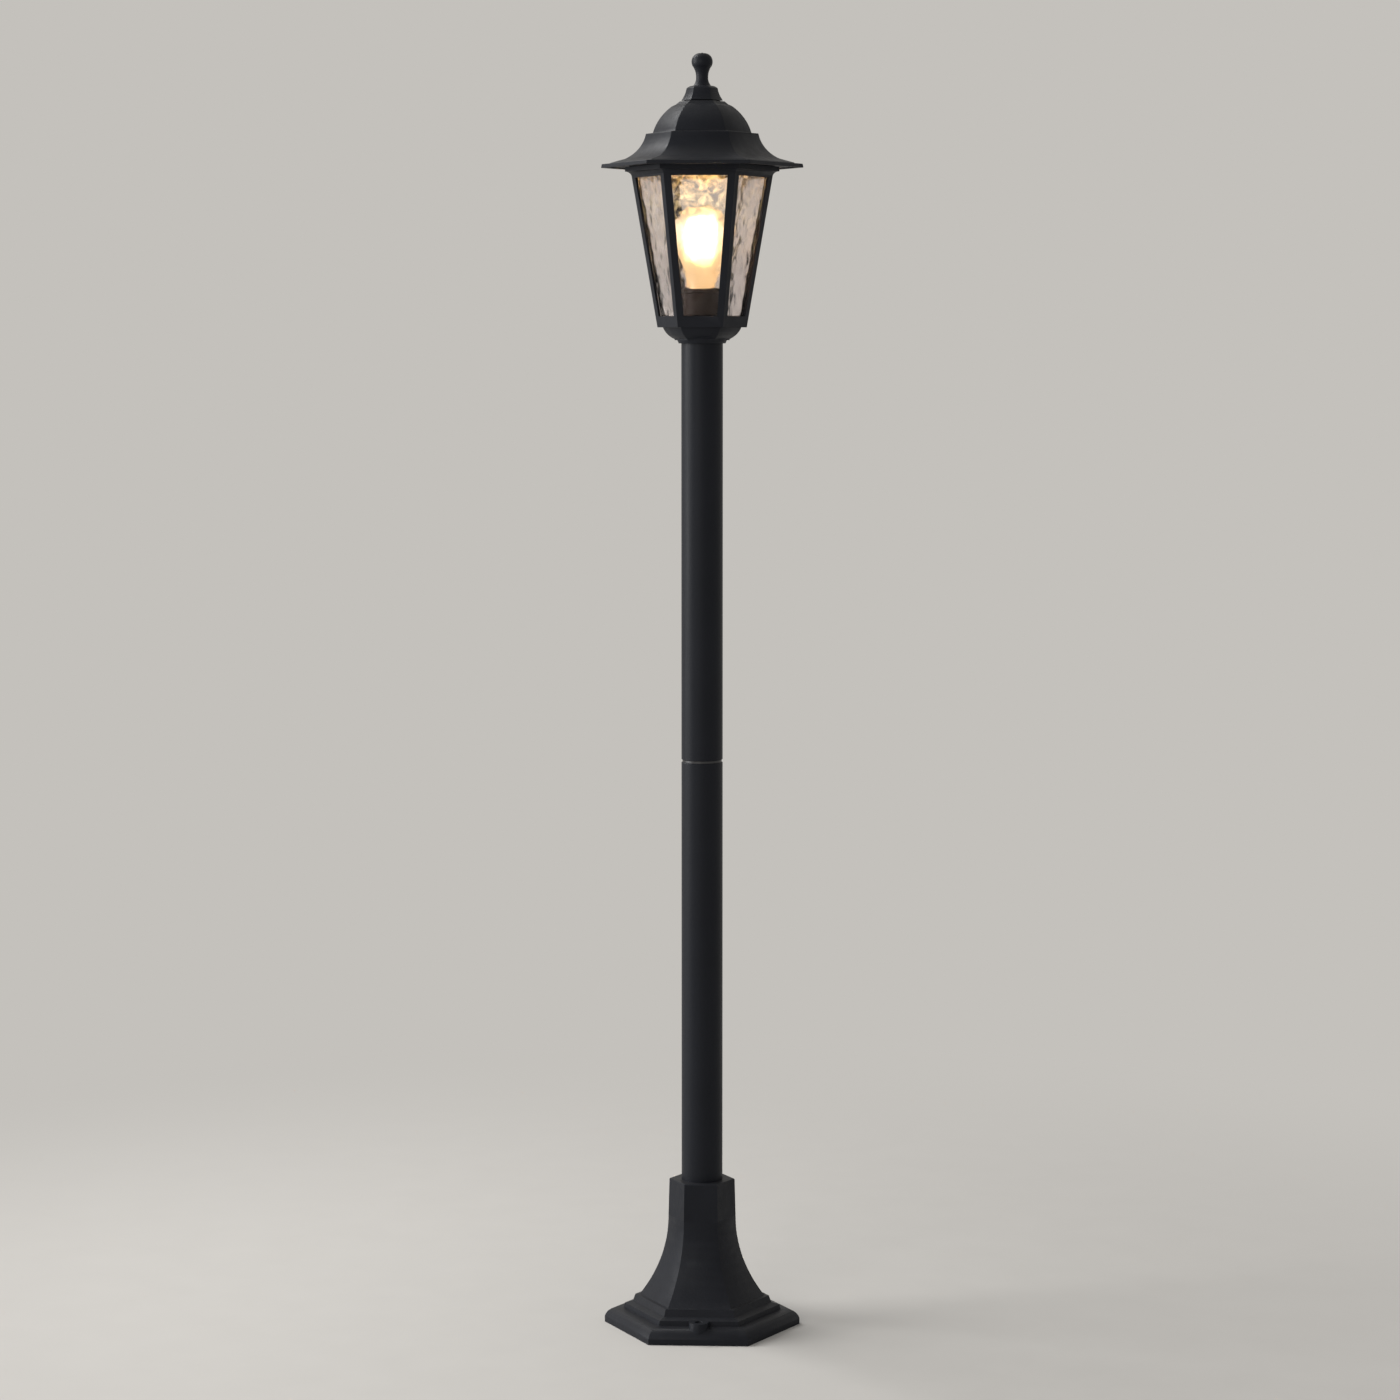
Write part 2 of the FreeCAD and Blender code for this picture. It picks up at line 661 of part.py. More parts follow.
def make_cage_screws():
    seat = CAGE_FOOT + CAGE_FLOOR
    screws = []
    for x, y in cage_screw_places():
        screw = pan_screw(CAGE_SCREW, 0, CAGE_FLOOR + CAGE_SCREW_BITE - 0.5)
        screw.rotate(AXIS_POINT, FreeCAD.Vector(1, 0, 0), 180)
        screw.translate(FreeCAD.Vector(x, y, seat))
        screws.append(screw)
    return Part.makeCompound(screws)


def roof_outline():
    path = [point(BRIM_CORNER, ROOF_FOOT)]
    step(path, BRIM_EDGE_DRAFT, BRIM_EDGE)
    step(path, BRIM_LIP_WIDTH, BRIM_LIP_RISE)
    step(path, BRIM_STEP_WIDTH, BRIM_STEP_RISE)
    step(path, BRIM_SLOPE_WIDTH, BRIM_SLOPE_RISE)
    step(path, OGEE_WIDTH, OGEE_RISE, -OGEE_HOLLOW)
    step(path, BELL_STEP_WIDTH, BELL_STEP_RISE)
    step(path, BELL_WIDTH, BELL_RISE, BELL_BULGE)
    step(path, SHOULDER_WIDTH, SHOULDER_RISE)
    step(path, CROWN_SLOPE_WIDTH, CROWN_SLOPE_RISE)
    return path


def roof_top():
    return roof_outline()[-1][1] + PAD_RISE


def roof_trough():
    # The brim is hollow below, between its drip edge and the rib that sits on the cage.
    thin = ROOF_WALL / FLAT_RATIO
    top = ROOF_FOOT + BRIM_EDGE + BRIM_LIP_RISE - ROOF_WALL
    path = [point(BRIM_CORNER - DRIP_WIDTH, ROOF_FOOT - 1)]
    path.append(point(BRIM_CORNER - DRIP_WIDTH - thin / 4, top))
    step(path, BRIM_LIP_WIDTH, BRIM_LIP_RISE)
    step(path, BRIM_SLOPE_WIDTH, BRIM_SLOPE_RISE)
    seat_corner = SPIGOT_CORNER + SEAT_OVERLAP
    return six_sided(path).cut(six_sided_prism(seat_corner, ROOF_FOOT - 2, ROOF_SEAT + BRIM_CORNER))


def roof_dome():
    # The inside of the roof rises straight within the spigot, then follows the ogee and the bell.
    thin = ROOF_WALL / FLAT_RATIO
    outline = roof_outline()
    ogee_top = outline[5]
    bell_foot = outline[6]
    bell_top = outline[7]
    spigot_inside = SPIGOT_CORNER - SPIGOT_WIDTH
    path = [point(spigot_inside, ROOF_SEAT - SPIGOT_DEPTH - 1)]
    path.append(point(spigot_inside, outline[4][1]))
    path.append(point(ogee_top[0] - thin, ogee_top[1] - ROOF_WALL, -OGEE_HOLLOW / 3))
    path.append(point(bell_foot[0] - thin, bell_foot[1] - ROOF_WALL / 2))
    path.append(point(bell_top[0] - thin, bell_top[1] - ROOF_WALL, BELL_BULGE))
    path.append(point(bell_top[0] - thin - SHOULDER_WIDTH, bell_top[1] - ROOF_WALL + SHOULDER_RISE))
    return six_sided(path)


def make_roof():
    outline = roof_outline()
    pad_corner = outline[-1][0] - PAD_INSET
    roof = six_sided(outline)
    roof = roof.fuse(six_sided_prism(pad_corner, roof_top() - 2 * PAD_RISE, roof_top()))
    roof = roof.cut(roof_trough())
    lift = six_sided_prism(SPIGOT_CORNER + SEAT_OVERLAP + 1, ROOF_FOOT - 1, ROOF_SEAT)
    roof = roof.cut(lift)
    roof = roof.fuse(six_sided_prism(SPIGOT_CORNER, ROOF_SEAT - SPIGOT_DEPTH, ROOF_SEAT + BRIM_EDGE))
    roof = roof.cut(roof_dome())
    roof = roof.cut(turned_copies(clip_recess(), CLIP_COUNT, CORNER_ANGLE / 2))
    hole = disc(FINIAL_SCREW + 4 * SLIP, roof_top() - BELL_RISE, roof_top() + 1)
    return roof.cut(hole).removeSplitter()


def clip_recess():
    face = SPIGOT_CORNER * FLAT_RATIO
    recess = Part.makeBox(CLIP_SINK + 1, CLIP_WIDTH + 4 * SEAT_GAP, SPIGOT_DEPTH + 1)
    side = -CLIP_WIDTH / 2 - 2 * SEAT_GAP
    recess.translate(FreeCAD.Vector(face - CLIP_SINK, side, ROOF_SEAT - SPIGOT_DEPTH - 1))
    return recess


def make_roof_clips():
    # A strip of spring steel folded over the spigot's lower edge, bowed where it grips the cage.
    outside = SPIGOT_CORNER * FLAT_RATIO - CLIP_SINK
    inside = (SPIGOT_CORNER - SPIGOT_WIDTH) * FLAT_RATIO
    low = ROOF_SEAT - SPIGOT_DEPTH
    leg_top = low + SPIGOT_DEPTH - 2 * SEAT_GAP
    bow = CLIP_SINK - CLIP_STRIP + SLIP
    path = [point(inside - CLIP_STRIP, low + CLIP_LEG)]
    path.append(point(inside - CLIP_STRIP, low - CLIP_STRIP))
    path.append(point(outside + CLIP_STRIP, low - CLIP_STRIP))
    path.append(point(outside + CLIP_STRIP, leg_top, bow))
    path.append(point(outside, leg_top))
    path.append(point(outside, low, -bow))
    path.append(point(inside, low))
    path.append(point(inside, low + CLIP_LEG))
    path.append(path[0])
    face = Part.Face(Part.Wire(outline_edges(path, 1.0)))
    clip = face.extrude(FreeCAD.Vector(0, CLIP_WIDTH, 0))
    clip.translate(FreeCAD.Vector(0, -CLIP_WIDTH / 2, 0))
    return Part.makeCompound(turned_copies(clip, CLIP_COUNT, CORNER_ANGLE / 2))


def make_finial():
    path = [point(FINIAL_CORNER, roof_top())]
    step(path, SKIRT_INSET, SKIRT_RISE, -SKIRT_HOLLOW)
    step(path, SKIRT_SHOULDER_WIDTH, SKIRT_SHOULDER_RISE, SKIRT_HOLLOW / 2)
    skirt_top = path[-1][1]
    knob = [point(FINIAL_NECK_FOOT, skirt_top - SKIRT_SHOULDER_RISE)]
    knob.append(point(FINIAL_NECK_FOOT, skirt_top))
    knob.append(point(FINIAL_NECK, skirt_top + NECK_RISE, -NECK_HOLLOW))
    knob.append(point(BALL_SEAT, skirt_top + NECK_RISE + THROAT_RISE, -NECK_HOLLOW))
    step(knob, BALL_SEAT - BALL_SHOULDER, BALL_RISE, BALL_BULGE)
    step(knob, BALL_SHOULDER - TIP_DIAMETER / 2, BALL_DOME_RISE, BALL_DOME_BULGE)
    step(knob, TIP_DIAMETER / 4, TIP_RISE)
    finial = six_sided(path).fuse(turned(knob))
    hole = disc(FINIAL_SCREW + 2 * THREAD_GAP, roof_top() - 1, roof_top() + FINIAL_SCREW_BITE + 1)
    return finial.cut(hole).removeSplitter()


def roof_ceiling():
    return roof_outline()[7][1] - ROOF_WALL + SHOULDER_RISE


def make_finial_washer():
    low = roof_ceiling() - WASHER_THICKNESS
    return pipe(FINIAL_WASHER_DIAMETER, FINIAL_SCREW + 2 * SLIP, low, roof_ceiling())


def make_finial_screw():
    return pan_screw(FINIAL_SCREW, roof_ceiling() - WASHER_THICKNESS, roof_top() + FINIAL_SCREW_BITE)


def shell_bore():
    return CAP_DIAMETER + 4 * SLIP


def make_holder_body():
    path = [point(HOLDER_FOOT_DIAMETER / 2, HOLDER_FOOT)]
    path.append(point(HOLDER_DIAMETER / 2 - HOLDER_RIM, HOLDER_FOOT + HOLDER_FOOT_RISE, 0.6))
    step(path, 0, HOLDER_BODY_RISE - 4 * HOLDER_RIM)
    step(path, -HOLDER_RIM, HOLDER_RIM)
    step(path, 0, 2 * HOLDER_RIM)
    step(path, HOLDER_RIM, HOLDER_RIM)
    body = turned(path)
    top = path[-1][1]
    well = shell_bore() + 2 * SHELL_WALL + 2 * SLIP
    body = body.cut(disc(well, HOLDER_WELL, top + 1))
    return body.cut(disc(STEM_DIAMETER + 2 * THREAD_GAP, HOLDER_FOOT - 1, HOLDER_WELL + 1))


def make_holder_screw_shell():
    low = HOLDER_WELL + CONTACT_STRIP + SEAT_GAP
    shell = disc(shell_bore() + 2 * SHELL_WALL, low, low + SHELL_RISE)
    return shell.cut(disc(shell_bore(), low - 1, low + SHELL_RISE + 1))


def make_holder_contact():
    # A sprung brass strip on the well's floor, arched where the bulb's foot touches it.
    half = shell_bore() / 2 - SLIP
    span = half * 0.6
    low = HOLDER_WELL
    path = [point(-half, low), point(-span, low)]
    path.append(point(span, low, -CONTACT_RISE))
    path.append(point(half, low))
    path.append(point(half, low + CONTACT_STRIP))
    path.append(point(span, low + CONTACT_STRIP))
    path.append(point(-span, low + CONTACT_STRIP, CONTACT_RISE))
    path.append(point(-half, low + CONTACT_STRIP))
    path.append(path[0])
    face = Part.Face(Part.Wire(outline_edges(path, 1.0)))
    strip = face.extrude(FreeCAD.Vector(0, CONTACT_WIDTH, 0))
    strip.translate(FreeCAD.Vector(0, -CONTACT_WIDTH / 2, 0))
    return strip


def make_bulb():
    # The neck's hollow curve runs into the ball without a kink.
    ball = BULB_DIAMETER / 2
    neck = BULB_NECK_DIAMETER / 2
    cap = CAP_DIAMETER / 2
    turn = math.radians(BULB_NECK_TURN)
    ball_centre = BULB_FOOT + BULB_LENGTH - ball
    join_out = ball * math.cos(turn)
    join_up = ball_centre - ball * math.sin(turn)
    hollow_radius = (join_out - neck) / (1 - math.cos(turn))
    neck_up = join_up - hollow_radius * math.sin(turn)
    hollow_sag = hollow_radius * (1 - math.cos(turn / 2))
    crown_sag = ball * (1 - math.cos((math.pi / 2 + turn) / 2))
    path = [point(CAP_TIP_DIAMETER / 2 - CAP_LIP, BULB_FOOT)]
    path.append(point(CAP_TIP_DIAMETER / 2, BULB_FOOT + CAP_TIP_RISE))
    path.append(point(cap - CAP_LIP, BULB_FOOT + CAP_CONE_RISE))
    path.append(point(cap, BULB_FOOT + CAP_CONE_RISE + CAP_LIP))
    path.append(point(cap, BULB_FOOT + CAP_LENGTH))
    path.append(point(neck, max(neck_up, BULB_FOOT + CAP_LENGTH + CAP_LIP)))
    path.append(point(join_out, join_up, -hollow_sag))
    path.append(point(0, ball_centre + ball, crown_sag))
    return turned(path)


PANE_NAMES = ("pane_back_right", "pane_back", "pane_back_left",
              "pane_front_left", "pane_front", "pane_front_right")

pieces = {
    "base": make_base(),
    "terminal_block": make_terminal_block(),
    "terminal_clamp_screws": make_terminal_clamp_screws(),
    "terminal_block_screw": make_terminal_block_screw(),
    "earth_washer": make_earth_washer(),
    "earth_screw": make_earth_screw(),
    "lower_post_tube": make_tube(TUBE_FOOT, LOWER_TUBE_TOP),
    "lower_tube_plug": make_plug(TUBE_FOOT),
    "lower_stem": make_lower_stem(),
    "lower_stem_washer": make_stem_washer(SOCKET_UNDERSIDE - WASHER_THICKNESS),
    "lower_stem_nut": make_stem_nut(SOCKET_UNDERSIDE - WASHER_THICKNESS - NUT_HEIGHT),
    "post_coupling": make_post_coupling(),
    "upper_post_tube": make_tube(UPPER_TUBE_FOOT, TUBE_TOP),
    "upper_tube_plug": make_plug(TUBE_TOP - PLUG_THICKNESS),
    "upper_stem": make_upper_stem(),
    "upper_stem_washer": make_stem_washer(CUP_FLOOR_TOP),
    "upper_stem_nut": make_stem_nut(CUP_FLOOR_TOP + WASHER_THICKNESS),
    "lantern_cup": make_cup(),
    "lantern_cage": make_cage(),
    "cage_screws": make_cage_screws(),
    "lamp_holder": make_holder_body(),
    "holder_screw_shell": make_holder_screw_shell(),
    "holder_contact": make_holder_contact(),
    "bulb": make_bulb(),
    "roof": make_roof(),
    "roof_clips": make_roof_clips(),
    "finial": make_finial(),
    "finial_washer": make_finial_washer(),
    "finial_screw": make_finial_screw(),
}
for side, name in enumerate(PANE_NAMES):
    pieces[name] = make_pane(side)

for name, shape in pieces.items():
    shape.exportStep(os.path.join("parts", name + ".step"))
    print(name, shape.isValid(), len(shape.Solids), round(shape.Volume))
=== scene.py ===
# %% [markdown]
# # Outdoor lamp post
# A six-sided garden lantern on a round post, lit and coated satin black. The solids come in as a fixed
# frame, in metres, and this lesson gives them their finishes, cuts the glass with its ripples, fills the
# bulb with light, and sets a plain studio round the whole. Nothing of the frame is moved: pieces are only
# added to it or dressed.

# %% Load the frame
import math
import bmesh
import bpy
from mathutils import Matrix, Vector, noise


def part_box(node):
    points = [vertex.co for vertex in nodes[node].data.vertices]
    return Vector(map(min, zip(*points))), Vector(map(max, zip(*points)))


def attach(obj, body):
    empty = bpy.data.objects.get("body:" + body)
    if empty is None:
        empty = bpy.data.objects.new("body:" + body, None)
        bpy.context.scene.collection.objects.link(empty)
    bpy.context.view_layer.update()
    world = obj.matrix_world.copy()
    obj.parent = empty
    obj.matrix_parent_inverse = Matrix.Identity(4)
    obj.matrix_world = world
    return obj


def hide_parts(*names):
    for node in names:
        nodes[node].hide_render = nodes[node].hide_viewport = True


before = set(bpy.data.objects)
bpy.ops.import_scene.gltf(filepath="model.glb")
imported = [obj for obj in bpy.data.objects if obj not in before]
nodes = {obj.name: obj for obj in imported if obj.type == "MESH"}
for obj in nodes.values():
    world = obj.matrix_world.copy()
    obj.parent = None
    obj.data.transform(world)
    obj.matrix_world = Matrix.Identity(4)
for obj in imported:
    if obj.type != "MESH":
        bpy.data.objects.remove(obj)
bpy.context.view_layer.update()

print("pieces in the frame:", len(nodes))

# %% [markdown]
# ## Camera
# The photograph was taken from about three and a half metres away, a little right of the middle of a flat
# side and at the height of the upper tube, with a long lens. A camera could be placed by eye, but eight
# corners of the brim, the sill and the base fix its place much better, so the fitted values stand here.

# %% Place the camera
LENS_MM = 92.96
SENSOR_MM = 36.0
CAMERA_PLACE = (0.15596, -3.4804, 0.9618)
CAMERA_TILT = math.radians(84.337)
CAMERA_TURN = math.radians(2.599)

camera_data = bpy.data.cameras.new("photo_camera")
camera_data.lens = LENS_MM
camera_data.sensor_width = SENSOR_MM
camera = bpy.data.objects.new("photo_camera", camera_data)
camera.location = CAMERA_PLACE
camera.rotation_euler = (CAMERA_TILT, 0.0, CAMERA_TURN)
bpy.context.scene.collection.objects.link(camera)
bpy.context.scene.camera = camera
print("camera distance in metres:", round(camera.location.length, 2))

# %% [markdown]
# ## Colours and nodes
# Paint charts give colours as sRGB, while shaders count in linear light, so one function turns a hex value
# into linear numbers. Patterns are thought of in millimetres and the object is in metres, so another
# function turns the size of one grain or ripple into a texture's scale. A last helper adds a shader node,
# sets it and links it in one line, which keeps each finish short enough to read.

# %% Helpers for finishes
def linear(hex_colour):
    """An sRGB hex colour as the linear colour that a shader takes."""
    parts = [int(hex_colour[i:i + 2], 16) / 255 for i in (1, 3, 5)]
    return tuple(p / 12.92 if p <= 0.04045 else ((p + 0.055) / 1.055) ** 2.4 for p in parts) + (1.0,)


def per_metre(size_mm):
    """The texture scale at which one grain is this many millimetres wide."""
    return 1000.0 / size_mm


def add_node(tree, kind, settings, links=None):
    """Add a node, set its options and sockets, and link its sockets to outputs made before."""
    node = tree.nodes.new(kind)
    for name, value in settings.items():
        if isinstance(name, str) and name not in node.inputs:
            setattr(node, name, value)
        else:
            node.inputs[name].default_value = value
    for name, source in (links or {}).items():
        tree.links.new(source, node.inputs[name])
    return node


def new_finish(name, **sockets):
    """A material with its shader's plain values set, and the outputs that patterns start from."""
    material = bpy.data.materials.new(name)
    material.use_nodes = True
    tree = material.node_tree
    shader = tree.nodes["Principled BSDF"]
    for socket, value in sockets.items():
        shader.inputs[socket.replace("_", " ")].default_value = value
    place = add_node(tree, "ShaderNodeTexCoord", {}).outputs["Object"]
    return material, tree, shader, place


def dress(material, *names):
    """Give frame nodes a finish in place of the plain colour they came with."""
    for name in names:
        nodes[name].material_slots[0].material = material
    print(material.name, "on", len(names), "pieces")


# %% [markdown]
# ## Floor and backdrop
# A studio sweep is one pale surface that runs on until its edge can't be seen. A curved backdrop would do,
# but it gets in the way when the camera goes round the object. Here the floor is a wide disc that takes
# shadows near the post and fades into the backdrop's own tone further out, so every side looks alike.

# %% Make the floor
BACKDROP = linear("#c4c1bc")
FLOOR_RADIUS = 9.0
FADE_START = 0.3
FADE_END = 1.4

floor_mesh = bmesh.new()
bmesh.ops.create_circle(floor_mesh, cap_ends=True, segments=96, radius=FLOOR_RADIUS)
floor_data = bpy.data.meshes.new("studio_floor")
floor_mesh.to_mesh(floor_data)
floor_mesh.free()
floor = bpy.data.objects.new("studio_floor", floor_data)
bpy.context.scene.collection.objects.link(floor)

# Matt paper: soft and almost without shine, with a faint cloudiness from its fibres.
paper, tree, shader, place = new_finish("matt_paper_sweep", Roughness=0.9, Specular_IOR_Level=0.1)
fibre = add_node(tree, "ShaderNodeTexNoise", {"Scale": per_metre(60), "Detail": 4.0}, {"Vector": place})
tone = add_node(tree, "ShaderNodeMix",
                {"data_type": "RGBA", 6: linear("#c6c3be"), 7: linear("#cbc8c3")},
                {0: fibre.outputs["Fac"]})
tree.links.new(tone.outputs[2], shader.inputs["Base Color"])
reach = add_node(tree, "ShaderNodeVectorMath", {"operation": "LENGTH"}, {0: place})
fade = add_node(tree, "ShaderNodeMapRange",
                {"interpolation_type": "SMOOTHSTEP", "From Min": FADE_START, "From Max": FADE_END},
                {"Value": reach.outputs["Value"]})
glow = add_node(tree, "ShaderNodeEmission", {"Color": BACKDROP, "Strength": 1.0})
sweep = add_node(tree, "ShaderNodeMixShader", {},
                 {0: fade.outputs["Result"], 1: shader.outputs["BSDF"], 2: glow.outputs["Emission"]})
tree.links.new(sweep.outputs["Shader"], tree.nodes["Material Output"].inputs["Surface"])
floor.data.materials.append(paper)
print("floor fades out from", FADE_START, "to", FADE_END, "m")

# %% [markdown]
# The backdrop itself is the world. What the camera sees, straight or in a reflection or through glass, is
# the backdrop's tone, and what lights the object is a separate even level. So the picture's ground can be
# pale without throwing more light on the black coat than a plain studio has.

# %% Light the world
EVEN_LIGHT = 0.30

world = bpy.data.worlds.new("studio")
world.use_nodes = True
bpy.context.scene.world = world
tree = world.node_tree
even = tree.nodes["Background"]
even.inputs["Color"].default_value = (1.0, 1.0, 1.0, 1.0)
even.inputs["Strength"].default_value = EVEN_LIGHT
seen = add_node(tree, "ShaderNodeBackground", {"Color": BACKDROP, "Strength": 1.0})
ray = add_node(tree, "ShaderNodeLightPath", {})
mirrored = add_node(tree, "ShaderNodeMath", {"operation": "MAXIMUM"},
                    {0: ray.outputs["Is Camera Ray"], 1: ray.outputs["Is Glossy Ray"]})
shown = add_node(tree, "ShaderNodeMath", {"operation": "MAXIMUM"},
                 {0: mirrored.outputs[0], 1: ray.outputs["Is Transmission Ray"]})
mix = add_node(tree, "ShaderNodeMixShader", {},
               {0: shown.outputs[0], 1: even.outputs["Background"], 2: seen.outputs["Background"]})
tree.links.new(mix.outputs["Shader"], tree.nodes["World Output"].inputs["Surface"])
bpy.context.scene.view_settings.view_transform = "Standard"
print("even light level:", EVEN_LIGHT)

# %% [markdown]
# ## Lamps
# In the photograph the faces that look left are about twice as bright as the front, and the tube darkens
# evenly from left to right. One large soft panel on the left does that. A weak panel left of the camera
# keeps the front readable, and one high up behind the post lifts the roof and the plinth.

# %% Hang the soft panels
def soft_panel(name, place, aim_height, size, power, colour):
    """A rectangular studio panel at a place, turned to face a height on the post's axis."""
    data = bpy.data.lights.new(name, "AREA")
    data.shape = "RECTANGLE"
    data.size, data.size_y = size
    data.energy = power
    data.color = linear(colour)[:3]
    panel = bpy.data.objects.new(name, data)
    panel.location = place
    aim = Vector((0, 0, aim_height)) - Vector(place)
    panel.rotation_euler = aim.to_track_quat("-Z", "Y").to_euler()
    panel.visible_camera = False
    panel.visible_transmission = False
    bpy.context.scene.collection.objects.link(panel)
    print(name, "at", place, "with", power, "W")


soft_panel("left_panel", (-4.3, -0.4, 1.8), aim_height=0.8, size=(2.6, 3.2), power=215, colour="#ffffff")
soft_panel("front_panel", (-1.4, -3.6, 1.6), aim_height=0.7, size=(1.6, 1.6), power=28, colour="#fbf7f2")
soft_panel("top_panel", (-1.9, 1.2, 3.2), aim_height=0.8, size=(1.4, 1.4), power=62, colour="#ffffff")

# %% [markdown]
# ## Black powder coat on castings
# The base, cup, cage, roof and finial are aluminium castings sprayed with black powder and baked. The baked
# skin is satin, with a fine orange peel over the slight waviness of the cast metal below. Dust settles
# where a face looks up. It could all be painted as one black, but then the big flats look like card, so
# colour, gloss and relief each get their own small pattern.

# %% Finish of the castings
COAT_SHINE = 0.12
# Orange peel is about 0.8 mm wide on the real coat; it is drawn at 2 mm so that it shows.
PEEL_MM = 2
PEEL_DEPTH = 0.00012
WAVE_DEPTH = 0.0003
DUST_TILT = 0.35
DUST_SHARE = 0.05


def spray_coat(name):
    """The black coat of a casting; returns its material, its nodes and the outputs that a change needs."""
    material, tree, shader, place = new_finish(name, Metallic=0.0, Specular_IOR_Level=COAT_SHINE)
    # Cloudy patches some 40 mm wide: the black is never quite even.
    cloud = add_node(tree, "ShaderNodeTexNoise", {"Scale": per_metre(40), "Detail": 3.0}, {"Vector": place})
    black = add_node(tree, "ShaderNodeMix",
                     {"data_type": "RGBA", 6: linear("#17191e"), 7: linear("#1f2127")},
                     {0: cloud.outputs["Fac"]})
    # Dust on faces that look up, broken into 9 mm patches.
    facing = add_node(tree, "ShaderNodeNewGeometry", {})
    upward = add_node(tree, "ShaderNodeSeparateXYZ", {}, {"Vector": facing.outputs["Normal"]})
    patch = add_node(tree, "ShaderNodeTexNoise", {"Scale": per_metre(9), "Detail": 4.0}, {"Vector": place})
    settled = add_node(tree, "ShaderNodeMapRange",
                       {"From Min": DUST_TILT, "From Max": 1.0, "To Max": DUST_SHARE},
                       {"Value": upward.outputs["Z"]})
    amount = add_node(tree, "ShaderNodeMath", {"operation": "MULTIPLY"},
                      {0: settled.outputs["Result"], 1: patch.outputs["Fac"]})
    dusty = add_node(tree, "ShaderNodeMix", {"data_type": "RGBA", 7: linear("#8b877f")},
                     {0: amount.outputs[0], 6: black.outputs[2]})
    tree.links.new(dusty.outputs[2], shader.inputs["Base Color"])
    # The gloss wanders between satin and nearly matt.
    satin = add_node(tree, "ShaderNodeMapRange",
                     {"From Min": 0.3, "From Max": 0.7, "To Min": 0.4, "To Max": 0.5},
                     {"Value": patch.outputs["Fac"]})
    tree.links.new(satin.outputs["Result"], shader.inputs["Roughness"])
    # The peel lies on the waves of the cast metal, which are 16 mm wide.
    peel = add_node(tree, "ShaderNodeTexNoise", {"Scale": per_metre(PEEL_MM), "Detail": 2.0}, {"Vector": place})
    wave = add_node(tree, "ShaderNodeTexNoise", {"Scale": per_metre(16), "Detail": 1.0}, {"Vector": place})
    waviness = add_node(tree, "ShaderNodeBump", {"Strength": 1.0, "Distance": WAVE_DEPTH},
                        {"Height": wave.outputs["Fac"]})
    skin = add_node(tree, "ShaderNodeBump", {"Strength": 1.0, "Distance": PEEL_DEPTH},
                    {"Height": peel.outputs["Fac"], "Normal": waviness.outputs["Normal"]})
    tree.links.new(skin.outputs["Normal"], shader.inputs["Normal"])
    return material, tree, shader, place, facing.outputs["Normal"], dusty.outputs[2]


cast_coat = spray_coat("powder_coat_black_on_casting")[0]
dress(cast_coat, "base", "lantern_cup", "lantern_cage", "finial")

# %% [markdown]
# ## The roof's bare hollow
# The roof hangs with its outside to the spray gun, so its hollow gets only a thin veil of powder and keeps
# the grey of the cast metal. Over a burning bulb that hollow is lit brightly, and the panes mirror it under
# the crown. It is told from the outside in two ways: it lies within the six flats of the spigot, and its
# faces look down or towards the middle.

# %% Find the hollow
HOLLOW_FLAT = 0.0525
FLAT_TURNS = (30, 90, 150)
TURNED_IN = -0.05
WELL_TURNED_IN = -0.2

roof_coat, tree, shader, place, looks, dusty = spray_coat("powder_coat_black_bare_inside")
reach = None
for turn in FLAT_TURNS:
    flat = (math.cos(math.radians(turn)), math.sin(math.radians(turn)), 0.0)
    along = add_node(tree, "ShaderNodeVectorMath", {"operation": "DOT_PRODUCT", 1: flat}, {0: place})
    either = add_node(tree, "ShaderNodeMath", {"operation": "ABSOLUTE"}, {0: along.outputs["Value"]})
    furthest = add_node(tree, "ShaderNodeMath", {"operation": "MAXIMUM", 1: 0.0}, {0: either.outputs[0]})
    if reach is not None:
        tree.links.new(reach, furthest.inputs[1])
    reach = furthest.outputs[0]
within = add_node(tree, "ShaderNodeMath", {"operation": "LESS_THAN", 1: HOLLOW_FLAT}, {0: reach})
level = add_node(tree, "ShaderNodeVectorMath", {"operation": "MULTIPLY", 1: (1.0, 1.0, 0.0)}, {0: place})
outward = add_node(tree, "ShaderNodeVectorMath", {"operation": "NORMALIZE"}, {0: level.outputs["Vector"]})
turned_out = add_node(tree, "ShaderNodeVectorMath", {"operation": "DOT_PRODUCT"},
                      {0: outward.outputs["Vector"], 1: looks})
tilt = add_node(tree, "ShaderNodeSeparateXYZ", {}, {"Vector": looks})
lowest = add_node(tree, "ShaderNodeMath", {"operation": "MINIMUM"},
                  {0: turned_out.outputs["Value"], 1: tilt.outputs["Z"]})
inner_face = add_node(tree, "ShaderNodeMapRange", {"From Min": TURNED_IN, "From Max": WELL_TURNED_IN},
                      {"Value": lowest.outputs[0]})
inside = add_node(tree, "ShaderNodeMath", {"operation": "MULTIPLY"},
                  {0: inner_face.outputs["Result"], 1: within.outputs[0]})
print("the hollow lies within", HOLLOW_FLAT * 1000, "mm of the axis")

# %% Finish of the roof
# Bare cast aluminium: pale grey and dull, with sand marks of the mould 3 mm wide.
sand = add_node(tree, "ShaderNodeTexNoise", {"Scale": per_metre(3), "Detail": 4.0}, {"Vector": place})
bare = add_node(tree, "ShaderNodeMix",
                {"data_type": "RGBA", 6: linear("#b3b1aa"), 7: linear("#cdcbc4")},
                {0: sand.outputs["Fac"]})
both = add_node(tree, "ShaderNodeMix", {"data_type": "RGBA"},
                {0: inside.outputs[0], 6: dusty, 7: bare.outputs[2]})
tree.links.new(both.outputs[2], shader.inputs["Base Color"])
dress(roof_coat, "roof")

